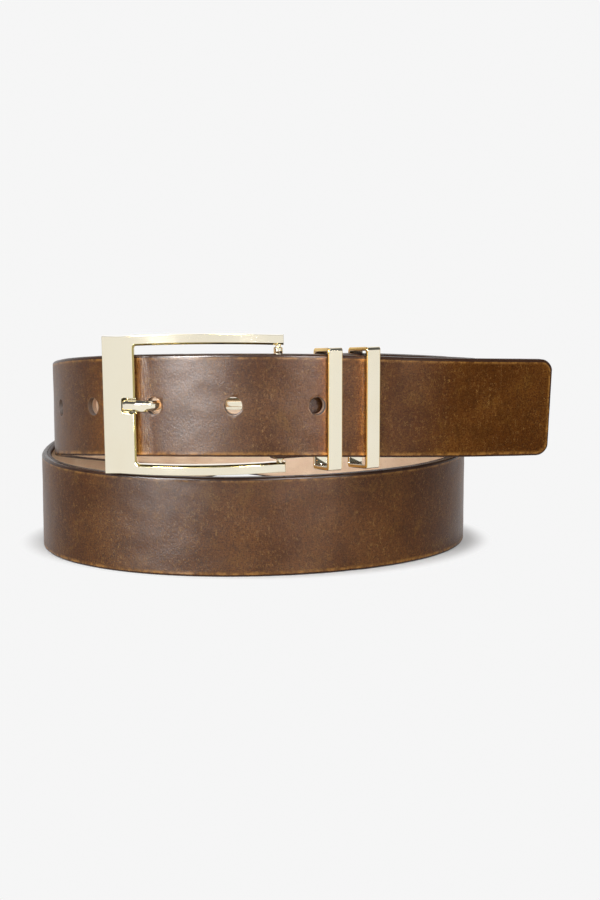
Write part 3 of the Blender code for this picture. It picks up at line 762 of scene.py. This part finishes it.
def make_frame(matrix, span, materials):
    """The far bar and two long sides in one bowed casting, with a chamfered opening."""
    grid = FrameGrid(matrix, span)
    faces = grid.faces()
    frame = new_object("buckle_casting", grid.points, faces, materials)
    to_buckle = matrix.inverted()

    def place_of(edge):
        ends = [to_buckle @ ((v.co + Place.shift) / MM) for v in edge.verts]
        for end in ends:
            end.y -= bulge(FRAME_BOW, end.x, span)
        return ends

    def notch_corner(edge):
        first, second = place_of(edge)
        crosswise = abs(first.y - second.y) > 1.0
        return crosswise and abs(first.x - grid.notch_end) < NEAR and abs(first.z) < 3.0

    def opening_front(edge):
        return all(end.y > FRAME_THICK / 2.0 - NEAR and end.x < grid.inner + NEAR
                   and NOTCH_HEIGHT / 2.0 - NEAR < abs(end.z) < FRAME_HALF_HEIGHT - 0.5
                   for end in place_of(edge))

    def opening_corner(edge):
        first, second = place_of(edge)
        crosswise = abs(first.y - second.y) > 0.5
        return crosswise and abs(first.x - grid.inner) < NEAR and abs(first.z) > 10.0

    chamfer_edges(frame, notch_corner, NOTCH_CORNER_ROUND, 5, 0)
    chamfer_edges(frame, opening_corner, OPENING_CORNER_ROUND, 4, 0)
    # the chamfers and rounded edges take the olive material, a painted reflection and shade
    chamfer_edges(frame, opening_front, OPENING_CHAMFER, 1, 1)
    modify(frame, "BEVEL", width=METAL_ROUND * MM, segments=3, limit_method="ANGLE",
           angle_limit=math.radians(METAL_SHARP_ANGLE), material=1, harden_normals=True)
    for side in (-1.0, 1.0):
        turned = matrix @ Matrix.Translation((0.0, 0.0, side * OPENING_HALF_HEIGHT))
        turned = turned @ Matrix.Rotation(math.pi / 2.0, 4, "X")
        socket = prism("socket", circle(HEEL_PIVOT_RADIUS + FIT_GAP, 32), turned,
                       HEEL_PIVOT_LENGTH + 2.0 * FIT_GAP, materials[:1])
        combine(frame, socket, "DIFFERENCE")
    flatten_normals(frame)
    return frame


def make_heel_bar(matrix, materials):
    """Round bar with a thinner pivot at each end, which sits in the frame."""
    shoulder = OPENING_HALF_HEIGHT - 2.0 * FIT_GAP
    end = OPENING_HALF_HEIGHT + HEEL_PIVOT_LENGTH
    chamfer = HEEL_BAR_CHAMFER
    half = [(HEEL_BAR_RADIUS, 0.0), (HEEL_BAR_RADIUS, shoulder - chamfer),
            (HEEL_BAR_RADIUS - chamfer, shoulder), (HEEL_PIVOT_RADIUS, shoulder),
            (HEEL_PIVOT_RADIUS, end - chamfer), (HEEL_PIVOT_RADIUS - chamfer, end), (0.0, end)]
    profile = [(radius, -depth) for radius, depth in reversed(half)] + half[1:]
    bar = lathe("heel_rod", profile, matrix @ Matrix.Rotation(math.pi / 2.0, 4, "X"), materials)
    smooth(bar)
    return bar


def prong_path(route, matrix, span):
    """Middle line of the prong, with its width and thickness, in the buckle's axes."""
    place = FIRST_HOLE + HOLE_PITCH * (USED_HOLE - 1)
    hole, out, along, rise = route.frame(place)
    inverse = matrix.inverted()
    centre = inverse @ (hole + rise * STRAP_WIDTH / 2.0)
    forward = inverse.to_3x3() @ along
    outward = inverse.to_3x3() @ out

    def by_hole(ahead, outside, width, thick):
        point = centre + forward * ahead + outward * outside
        return point.x, point.y, width, thick

    rest = NOTCH_FLOOR_OUT + PRONG_REST_GAP + PRONG_THICK / 2.0
    inner = span - BAR_WIDTH / 2.0
    end = inner + NOTCH_LENGTH - 2.0 * FIT_GAP
    return [
        (PRONG_EYE_INNER + 0.5, 0.0, PRONG_WIDTH, PRONG_THICK),
        (PRONG_EYE_OUTER + 8.0, -0.2, PRONG_WIDTH, PRONG_THICK),
        *(by_hole(ahead, outside, PRONG_WIDTH, PRONG_THICK)
          for ahead, outside in PRONG_BEHIND_HOLE),
        *(by_hole(ahead, outside, PRONG_NECK_WIDTH, PRONG_NECK_THICK)
          for ahead, outside in PRONG_THROUGH_HOLE),
        (inner - 0.9, bulge(FRAME_BOW, inner - 0.9, span) + rest - 0.1, PRONG_WIDTH, PRONG_THICK),
        (inner + 2.0, bulge(FRAME_BOW, inner + 2.0, span) + rest, PRONG_WIDTH, PRONG_THICK),
        (end, bulge(FRAME_BOW, end, span) + rest, PRONG_WIDTH, PRONG_THICK),
    ]


def prong_section(width, thick, shrink):
    """Flat below, with a flat and two wide slopes on the side that shows; corners eased."""
    half = width / 2.0 - shrink
    deep = thick / 2.0 - shrink
    corners = ((-deep, -half), (-deep, half), (0.1 * deep, half),
               (deep, 0.42 * half), (deep, -0.42 * half), (0.1 * deep, -half))
    eased = []
    for i, corner in enumerate(corners):
        before = Vector(corners[i - 1]) - Vector(corner)
        after = Vector(corners[(i + 1) % len(corners)]) - Vector(corner)
        ease = 0.12
        eased.append(Vector(corner) + before.normalized() * ease)
        eased.append(Vector(corner) + (before.normalized() + after.normalized()) * ease * 0.35)
        eased.append(Vector(corner) + after.normalized() * ease)
    return eased


def make_prong(route, matrix, span, materials):
    """Faceted prong with an eye round the heel bar; it passes the used hole to the notch."""
    path = np.array(prong_path(route, matrix, span))
    chords = np.linalg.norm(np.diff(path[:, :2], axis=0), axis=1)
    knots = np.concatenate(([0.0], np.cumsum(chords)))
    closing = PRONG_END_ROUND * (1.0 - np.sin(np.linspace(0.3, 1.57, 6)))
    places = np.concatenate((np.linspace(0.0, knots[-1] - PRONG_END_ROUND, 110),
                             knots[-1] - closing))
    straight = np.column_stack([np.interp(places, knots, path[:, k]) for k in range(4)])
    window = np.hanning(13)[1:-1]
    window /= window.sum()
    eased = straight.copy()
    for k in range(4):
        padded = np.pad(straight[:, k], len(window) // 2, mode="reflect", reflect_type="odd")
        eased[:, k] = np.convolve(padded, window, mode="valid")
    rings = []
    last = len(eased) - 1
    for i, (x, y, width, thick) in enumerate(eased):
        before = eased[max(i - 1, 0)]
        after = eased[min(i + 1, last)]
        slope = Vector((after[0] - before[0], after[1] - before[1])).normalized()
        to_end = knots[-1] - places[i]
        shrink = rounded_off(to_end, PRONG_END_ROUND)
        rings.append([matrix @ Vector((x - slope.y * out, y + slope.x * out, up))
                      for out, up in prong_section(width, thick, shrink)])
    prong = loft("prong_bar", rings, materials)
    half = PRONG_WIDTH / 2.0
    ease = PRONG_EYE_EASE
    rim = [(PRONG_EYE_INNER, half - ease), (PRONG_EYE_INNER + ease, half),
           (PRONG_EYE_OUTER - ease, half), (PRONG_EYE_OUTER, half - ease)]
    profile = [(radius, -depth) for radius, depth in rim] + rim[::-1]
    profile.append(profile[0])
    turned = matrix @ Matrix.Rotation(math.pi / 2.0, 4, "X")
    combine(prong, lathe("eye", profile, turned, materials), "UNION")
    flatten_normals(prong)
    return prong


def rim_points(radius, steps):
    """Half of a keeper's rounded rim as (along, inset), from its side face inwards."""
    return [(KEEPER_WIDTH / 2.0 - radius * (1.0 - math.cos(turn)), radius * (1.0 - math.sin(turn)))
            for turn in quarter_turns(steps)]


def make_keeper(name, route, place, top_gap, materials):
    """Rectangular metal loop round the strap's tip, its buckle end and the turn-back."""
    middle_up = (STRAP_WIDTH + top_gap + KEEPER_WALL) - KEEPER_HEIGHT / 2.0
    outer_half = KEEPER_INNER_DEPTH / 2.0 + KEEPER_WALL
    middle_in = KEEPER_INNER_DEPTH / 2.0 - KEEPER_FRONT_GAP
    matrix = route.upright_matrix(place, middle_up, KEEPER_SLOPE)
    matrix = matrix @ Matrix.Translation((0.0, middle_in, 0.0))
    outer = [(along, rounded_box(outer_half - inset, KEEPER_HEIGHT / 2.0 - inset,
                                 KEEPER_CORNER - inset * 0.5))
             for along, inset in rim_points(METAL_ROUND, KEEPER_OUTER_STEPS)]
    inner = [(along, rounded_box(KEEPER_INNER_DEPTH / 2.0 + inset,
                                 KEEPER_HEIGHT / 2.0 - KEEPER_WALL + inset, KEEPER_INNER_CORNER))
             for along, inset in rim_points(KEEPER_INNER_ROUND, KEEPER_INNER_STEPS)]
    profile = ([(-along, outline) for along, outline in outer] + outer[::-1] + inner
               + [(-along, outline) for along, outline in inner[::-1]])
    rings = [[matrix @ Vector((along, y, z)) for y, z in outline] for along, outline in profile]
    keeper = loft(name, rings, materials, loops=True)
    # the sides and rounded rims take the orange material, a painted reflection of the leather
    for polygon in keeper.data.polygons:
        ring = min(polygon.vertices) // len(rings[0])
        if ring != KEEPER_OUTER_STEPS and ring < 2 * KEEPER_OUTER_STEPS + 2:
            polygon.material_index = 1
    flatten_normals(keeper)
    return keeper


def head_profile(radius, top, under, ease):
    """Half outline of a low round screw head, from its middle to its underside."""
    step = math.copysign(1.0, under - top)
    points = [(0.0, top), (radius - 2.0 * ease, top)]
    for turn in quarter_turns(5)[1:]:
        points.append((radius - 2.0 * ease + 2.0 * ease * math.sin(turn),
                       top + step * ease * (1.0 - math.cos(turn))))
    points.append((radius, under))
    return points


def make_screw_pair(name, route, distance, materials):
    """A hollow post from outside and the slotted screw that closes it from inside."""
    matrix = route.matrix(route.length - distance, up=STRAP_WIDTH / 2.0)
    back = turn_back_depth(distance)
    under = -FIT_GAP
    profile = head_profile(SCREW_HEAD_RADIUS, under - SCREW_HEAD_THICK, under, SCREW_HEAD_EASE)
    profile.extend([(BARREL_RADIUS, under), (BARREL_RADIUS, back), (BARREL_BORE, back),
                    (BARREL_BORE, BARREL_FLOOR), (0.0, BARREL_FLOOR)])
    post = lathe(name + "_barrel", profile, matrix, materials)
    under = back + 1.5 * FIT_GAP
    top = under + SCREW_HEAD_THICK
    profile = head_profile(SCREW_HEAD_RADIUS, top, under, SCREW_HEAD_EASE)
    profile.append((SCREW_SHANK_RADIUS, under))
    for k in range(int((under - THREAD_END) / THREAD_PITCH)):
        depth = under - (k + 0.5) * THREAD_PITCH
        profile.extend([(SCREW_SHANK_RADIUS, depth + THREAD_HALF_WIDTH),
                        (SCREW_SHANK_RADIUS + THREAD_HEIGHT, depth),
                        (SCREW_SHANK_RADIUS, depth - THREAD_HALF_WIDTH)])
    profile.extend([(SCREW_SHANK_RADIUS - THREAD_HALF_WIDTH, SCREW_END), (0.0, SCREW_END)])
    screw = lathe(name + "_slotted", profile, matrix, materials)
    slot = rounded_box(2.0 * SCREW_HEAD_RADIUS, SCREW_SLOT_WIDTH / 2.0, 0.1)
    cutter = matrix @ Matrix.Translation((0.0, top + 1.0 - SCREW_SLOT_DEPTH, 0.0))
    combine(screw, prism("slot", slot, cutter, 1.0, materials[:1]), "DIFFERENCE")
    smooth(post)
    smooth(screw)
    return post, screw


# ---------------- materials

class Nodes:
    """Short ways to add nodes to a shader tree."""

    def __init__(self, tree):
        self.tree = tree

    def node(self, kind, sockets=(), **settings):
        """Add a node; sockets pairs its inputs with numbers, colours or other sockets."""
        node = self.tree.nodes.new("ShaderNode" + kind)
        for key, value in settings.items():
            setattr(node, key, value)
        for key, value in dict(sockets).items():
            self.feed(node.inputs[key], value)
        return node

    def feed(self, socket, value):
        if isinstance(value, bpy.types.NodeSocket):
            self.tree.links.new(value, socket)
        elif value is not None:
            socket.default_value = (*value, 1.0) if socket.type == "RGBA" else value

    def math(self, operation, *values):
        return self.node("Math", enumerate(values), operation=operation).outputs[0]

    def times(self, first, second):
        return self.math("MULTIPLY", first, second)

    def uv(self, name):
        return self.node("UVMap", uv_map=name).outputs[0]

    def object_place(self):
        return self.node("TexCoord").outputs["Object"]

    def stretch(self, vector, scale):
        return self.node("Mapping", {"Vector": vector, "Scale": scale}).outputs[0]

    def split(self, vector):
        return self.node("SeparateXYZ", {0: vector}).outputs

    def noise(self, vector, scale, detail=3.0, roughness=0.55, distortion=0.0):
        sockets = {"Vector": vector, "Scale": scale, "Detail": detail,
                   "Roughness": roughness, "Distortion": distortion}
        return self.node("TexNoise", sockets).outputs[0]

    def fade(self, value, start, end, low=0.0, high=1.0):
        """Map a value smoothly from start..end to low..high."""
        return self.node("MapRange", enumerate((value, start, end, low, high)),
                         interpolation_type="SMOOTHSTEP").outputs[0]

    def mix(self, factor, first, second):
        """Blend two colours, each a socket or an (r, g, b)."""
        return self.node("Mix", {0: factor, 6: first, 7: second},
                         data_type="RGBA").outputs[2]

    def lines(self, value, width):
        """Thin lines where a noise crosses its middle."""
        distance = self.math("ABSOLUTE", self.math("SUBTRACT", value, 0.5))
        return self.fade(distance, 0.0, width, 1.0, 0.0)

    def bump(self, height, distance, strength=1.0, before=None):
        return self.node("Bump", {"Strength": strength, "Distance": distance,
                                            "Height": height, "Normal": before}).outputs[0]


class Shader(Nodes):
    """A Principled material whose colour is built up tone by tone."""

    def __init__(self, name, **sockets):
        self.material = bpy.data.materials.new(name)
        self.material.use_nodes = True
        super().__init__(self.material.node_tree)
        self.surface = self.tree.nodes["Principled BSDF"]
        self.colour = None
        for socket, value in sockets.items():
            self.feed(self.surface.inputs[socket.replace("_", " ")], value)

    def tint(self, mask, tone, strength=None):
        """Lay a tone over the colour so far, where the mask is."""
        if strength is not None:
            mask = self.times(mask, strength)
        self.colour = self.mix(mask, self.colour, tone)

    def finish(self, roughness, normal):
        self.feed(self.surface.inputs["Base Color"], self.colour)
        self.feed(self.surface.inputs["Roughness"], roughness)
        self.feed(self.surface.inputs["Normal"], normal)
        return self.material


def edge_paint(shader, place, edge):
    """Lay the dark paint over the strap's edges, and give its mask."""
    ragged = shader.math("SUBTRACT", shader.noise(place, 9.0, 3.0), 0.5)
    border = shader.math("ADD", edge, shader.times(ragged, 0.035))
    wider_above = shader.fade(shader.split(place)[1], 1.4, 1.8, 0.0, 0.030)
    mask = shader.fade(shader.math("SUBTRACT", border, wider_above), 0.055, 0.085, 1.0, 0.0)
    paint = shader.mix(shader.noise(place, 30.0, 2.0), (0.026, 0.011, 0.007),
                       (0.070, 0.033, 0.019))
    shader.tint(mask, paint)
    return mask


def face_leather():
    """Waxed pull-up leather: mottled brown, pale fibres, tan borders and hole rims."""
    shader = Shader("waxed_brown_leather")
    place = shader.uv("strap")
    edge = shader.split(shader.uv("edge"))[0]
    along, height, _ = shader.split(place)

    clouds = shader.noise(place, 0.45, 3.0, 0.5, 0.3)
    shader.colour = shader.mix(shader.fade(clouds, 0.32, 0.70), (0.086, 0.0262, 0.0032),
                               (0.134, 0.0465, 0.0060))
    patches = shader.noise(shader.stretch(place, (1.6, 0.8, 1.0)), 2.2, 6.0, 0.68, 0.5)
    shader.tint(shader.fade(patches, 0.42, 0.72, 0.0, 0.55), (0.047, 0.0155, 0.0018))
    pull_up = shader.noise(place, 1.3, 4.0, 0.62, 0.6)
    shader.tint(shader.fade(pull_up, 0.50, 0.78, 0.0, 0.50), (0.185, 0.082, 0.0125))

    long_fibre = shader.noise(shader.stretch(place, (7.0, 1.3, 1.0)), 1.0, 3.0, 0.55, 1.1)
    short_fibre = shader.noise(shader.stretch(place, (1.2, 1.0, 1.0)), 4.5, 3.0, 0.6, 2.2)
    fibres = shader.math("MAXIMUM", shader.lines(long_fibre, 0.014),
                         shader.times(shader.lines(short_fibre, 0.020), 0.8))
    breaks = shader.fade(shader.noise(place, 7.0, 2.0, 0.5), 0.46, 0.58)
    worn = shader.fade(shader.noise(place, 0.8, 3.0, 0.5), 0.36, 0.62, 0.35, 1.0)
    fibres = shader.times(shader.times(fibres, breaks), worn)
    shader.tint(fibres, (0.36, 0.180, 0.045), 0.75)

    pores = shader.noise(shader.stretch(place, (1.0, 1.5, 1.0)), 15.0, 4.0, 0.7)
    shader.tint(shader.fade(pores, 0.36, 0.50, 0.70, 0.0), (0.024, 0.008, 0.003))
    shader.tint(shader.fade(pores, 0.54, 0.68, 0.0, 0.22), (0.22, 0.100, 0.022))
    pebbles = shader.noise(shader.stretch(place, (1.5, 0.85, 1.0)), 14.0, 3.0, 0.6, 0.4)
    shader.tint(shader.fade(pebbles, 0.36, 0.50, 0.55, 0.0), (0.036, 0.0095, 0.0015))

    border = shader.fade(edge, 0.09, 0.20, 1.0, 0.0)
    border_noise = shader.fade(shader.noise(place, 3.2, 5.0, 0.7), 0.40, 0.60, 0.15, 1.0)
    shader.tint(shader.times(border, border_noise), (0.40, 0.185, 0.040), 0.75)
    rim = shader.fade(hole_distance(shader, along, height), 0.280, 0.320, 1.0, 0.0)
    shader.tint(rim, (0.26, 0.125, 0.045), 0.5)

    from_creases = shader.math("ABSOLUTE", shader.math("SUBTRACT", along, 14.30))
    crease_zone = shader.fade(from_creases, 0.20, 0.48, 1.0, 0.0)
    creases = shader.noise(shader.stretch(place, (14.0, 1.2, 1.0)), 1.6, 4.0, 0.65, 0.5)
    crease_tone = shader.times(crease_zone, shader.fade(creases, 0.46, 0.58))
    shader.tint(crease_tone, (0.21, 0.105, 0.036), 0.5)
    mask = edge_paint(shader, place, edge)

    shine = shader.fade(along, 3.5, 6.0, 0.02, 0.115)
    shader.feed(shader.surface.inputs["Specular IOR Level"], shine)
    roughness = shader.math("SUBTRACT", shader.fade(clouds, 0.3, 0.7, 0.31, 0.37),
                            shader.times(mask, 0.08))
    normal = shader.bump(pores, 0.000022, 0.5)
    normal = shader.bump(pebbles, 0.00010, 0.5, normal)
    normal = shader.bump(fibres, 0.000015, 0.35, normal)
    normal = shader.bump(shader.times(crease_zone, creases), 0.0004, 0.5, normal)
    return shader.finish(roughness, normal)


def hole_distance(shader, along, height):
    """Distance from the nearest prong hole's middle, far away past the row's two ends."""
    first = FIRST_HOLE / CM
    pitch = HOLE_PITCH / CM
    shifted = shader.math("ADD", shader.math("SUBTRACT", along, first), pitch / 2.0)
    offset = shader.math("SUBTRACT", shader.math("FLOORED_MODULO", shifted, pitch), pitch / 2.0)
    across = shader.math("SUBTRACT", height, STRAP_WIDTH / 2.0 / CM)
    span = shader.math("SQRT", shader.math("ADD", shader.times(offset, offset),
                                           shader.times(across, across)))
    last = first + pitch * (HOLE_COUNT - 1)
    past_last = shader.math("GREATER_THAN", along, last + pitch / 2.0)
    before_first = shader.math("LESS_THAN", along, first - pitch / 2.0)
    return shader.math("ADD", span, shader.math("ADD", past_last, before_first))


def lining_leather():
    """Pale vegetable-tan lining, with a soft nap and faint creases."""
    shader = Shader("pale_lining_leather", Specular_IOR_Level=0.35)
    place = shader.uv("strap")
    edge = shader.split(shader.uv("edge"))[0]
    clouds = shader.noise(place, 0.8, 4.0, 0.55)
    shader.colour = shader.mix(shader.fade(clouds, 0.35, 0.68), (0.78, 0.54, 0.35),
                               (0.90, 0.68, 0.48))
    nap = shader.noise(shader.stretch(place, (1.0, 2.4, 1.0)), 22.0, 4.0, 0.65)
    shader.tint(shader.fade(nap, 0.40, 0.72, 0.0, 0.35), (0.93, 0.76, 0.58))
    creases = shader.noise(shader.stretch(place, (2.5, 9.0, 1.0)), 0.9, 3.0, 0.5, 0.6)
    crease_lines = shader.lines(creases, 0.010)
    shader.tint(crease_lines, (0.36, 0.19, 0.10), 0.28)
    shader.tint(shader.fade(edge, 0.03, 0.20, 1.0, 0.0), (0.36, 0.185, 0.09), 0.45)
    edge_paint(shader, place, edge)
    normal = shader.bump(nap, 0.00006, 0.5)
    normal = shader.bump(crease_lines, 0.00006, 0.4, normal)
    return shader.finish(shader.fade(nap, 0.3, 0.7, 0.52, 0.68), normal)


def cut_leather(name, light, dark):
    """Raw fibrous leather where a hole is punched, in the given tones; the face leather's tones are
    darkened as painted shade inside the holes.
    """
    shader = Shader(name, Specular_IOR_Level=0.3)
    fibres = shader.noise(shader.object_place(), 2600.0, 4.0, 0.7)
    shader.colour = shader.mix(shader.fade(fibres, 0.3, 0.7), dark, light)
    return shader.finish(shader.fade(fibres, 0.3, 0.7, 0.6, 0.85),
                         shader.bump(fibres, 0.00008, 0.7))


def polished_gold(name, light, deep, smooth_end, rough_end):
    """Gold plate in two tones, with hairline scratches and faint smears; the olive edge tone and the
    orange side tone are painted reflections.
    """
    shader = Shader(name, Metallic=1.0)
    place = shader.object_place()
    smears = shader.noise(place, 60.0, 3.0, 0.5, 0.4)
    shader.colour = shader.mix(shader.fade(smears, 0.30, 0.75), light, deep)
    hairs = shader.noise(shader.stretch(place, (240.0, 240.0, 2600.0)), 1.0, 2.0, 0.5, 0.3)
    roughness = shader.math("ADD", shader.fade(smears, 0.3, 0.75, smooth_end, rough_end),
                            shader.times(shader.lines(hairs, 0.02), 0.05))
    return shader.finish(roughness, shader.bump(smears, 0.00002, 0.05))


# ---------------- studio

def make_camera():
    camera = bpy.data.cameras.new("camera")
    camera.lens = CAMERA_LENS
    camera.sensor_width = CAMERA_SENSOR
    camera.sensor_fit = "AUTO"
    camera.clip_start = 0.01
    obj = add_object("camera", camera)
    obj.location = CAMERA_PLACE
    obj.rotation_euler = (math.radians(90.0 - CAMERA_PITCH), 0.0, math.radians(-CAMERA_YAW))
    bpy.context.scene.camera = obj


def make_floor():
    """A pale floor that turns into plain white light far from the object."""
    half = FLOOR_HALF
    mesh = bpy.data.meshes.new("floor")
    mesh.from_pydata([(-half, -half, 0), (half, -half, 0), (half, half, 0), (-half, half, 0)],
                     [], [(0, 1, 2, 3)])
    floor = add_object("floor", mesh)
    shader = Shader("pale_floor", Roughness=0.9, Specular_IOR_Level=0.0, Base_Color=FLOOR_GREY)
    glow = shader.node("Emission", {"Color": (BACK_LIGHT, BACK_LIGHT, BACK_LIGHT)})
    from_coil = shader.node("VectorMath", {0: shader.object_place(), 1: FLOOR_SHIFT},
                            operation="ADD").outputs[0]
    reach = shader.node("VectorMath", {0: shader.stretch(from_coil, FLOOR_STRETCH)},
                        operation="LENGTH").outputs["Value"]
    far = shader.fade(reach, *FLOOR_FADE)
    blend = shader.node("MixShader",
                        enumerate((far, shader.surface.outputs[0], glow.outputs[0])))
    shader.feed(shader.tree.nodes["Material Output"].inputs["Surface"], blend.outputs[0])
    mesh.materials.append(shader.material)


def make_world():
    """White to look at; for light and reflections, brighter behind than in front."""
    world = bpy.data.worlds.new("studio")
    bpy.context.scene.world = world
    world.use_nodes = True
    nodes = Nodes(world.node_tree)
    place = nodes.node("TexCoord").outputs["Generated"]
    back = nodes.fade(nodes.split(place)[1], *BACK_FADE)
    seen = nodes.node("LightPath").outputs["Is Camera Ray"]
    pick = nodes.node("Mix", {0: seen, 2: back, 3: BACK_LIGHT}, data_type="FLOAT")
    background = nodes.tree.nodes["Background"]
    nodes.feed(background.inputs["Strength"], pick.outputs[0])
    nodes.feed(background.inputs["Color"], (1.0, 1.0, 1.0))


def add_softbox(name, place, width, height, power, glossy_only):
    light = bpy.data.lights.new(name, "AREA")
    light.shape = "RECTANGLE"
    light.size = width
    light.size_y = height
    light.energy = power
    obj = add_object(name, light)
    obj.location = place
    aim = Vector(LIGHT_AIM) - Vector(place)
    obj.rotation_euler = aim.to_track_quat("-Z", "Y").to_euler()
    obj.visible_diffuse = not glossy_only


def make_studio():
    make_camera()
    make_floor()
    make_world()
    for softbox in SOFTBOXES:
        add_softbox(*softbox)
    view = bpy.context.scene.view_settings
    view.view_transform = "Standard"
    view.look = "None"


# ---------------- the belt

def ride(piece, node, body):
    """Put a finished piece on its body, in place of its CAD node."""
    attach(piece, body)
    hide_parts(node)


def main():
    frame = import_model()
    make_studio()

    route = Route()
    matrix, span = heel_matrix(route)
    hinge = next(j for j in frame["joints"] if j["name"] == "buckle_hinge")
    Place.shift = matrix.translation * MM - Vector(hinge["pos_m"])

    # the punched face leather's near-black tones are painted shade inside the holes, not the raw
    # leather's own colour
    raw_face_and_hole_shade = cut_leather("punched_brown_leather_hole_shade", *RAW_FACE_AND_HOLE_SHADE)
    raw_lining = cut_leather("punched_lining_leather", *RAW_LINING)
    gold = polished_gold("polished_pale_gold", *GOLD)
    # olive edge gold: painted reflection and shade on the frame's bevels
    gold_edge_painted_reflection = polished_gold("gold_edge_with_painted_reflection", *GOLD_EDGE_PAINTED_REFLECTION)
    # orange side gold: painted reflection of the leather on the keepers
    gold_side_painted_reflection = polished_gold("gold_side_with_painted_reflection", *GOLD_SIDE_PAINTED_REFLECTION)
    metal = [gold, gold_edge_painted_reflection]

    face = make_face(route, matrix, [face_leather(), raw_face_and_hole_shade])
    ride(face, "strap_outer", "strap")
    lining = make_lining(route, [lining_leather(), raw_lining])
    ride(lining, "strap_lining", "strap")
    ride(make_frame(matrix, span, metal), "buckle_frame", "buckle")
    ride(make_heel_bar(matrix, metal[:1]), "heel_bar", "buckle")
    ride(make_prong(route, matrix, span, metal[:1]), "prong", "prong")
    over_heel = place_over_heel(route, matrix.translation)
    for name, distance, top_gap in KEEPER_PLACES:
        keeper = make_keeper(name + "_loop", route, over_heel - distance, top_gap,
                             [gold, gold_side_painted_reflection])
        ride(keeper, name, name)
    for number, distance in enumerate(SCREW_PLACES, start=1):
        name = f"fold_screw_{number}"
        post, screw = make_screw_pair(name, route, distance, metal[:1])
        ride(post, name + "_post", "strap")
        ride(screw, name + "_screw", "strap")


main()
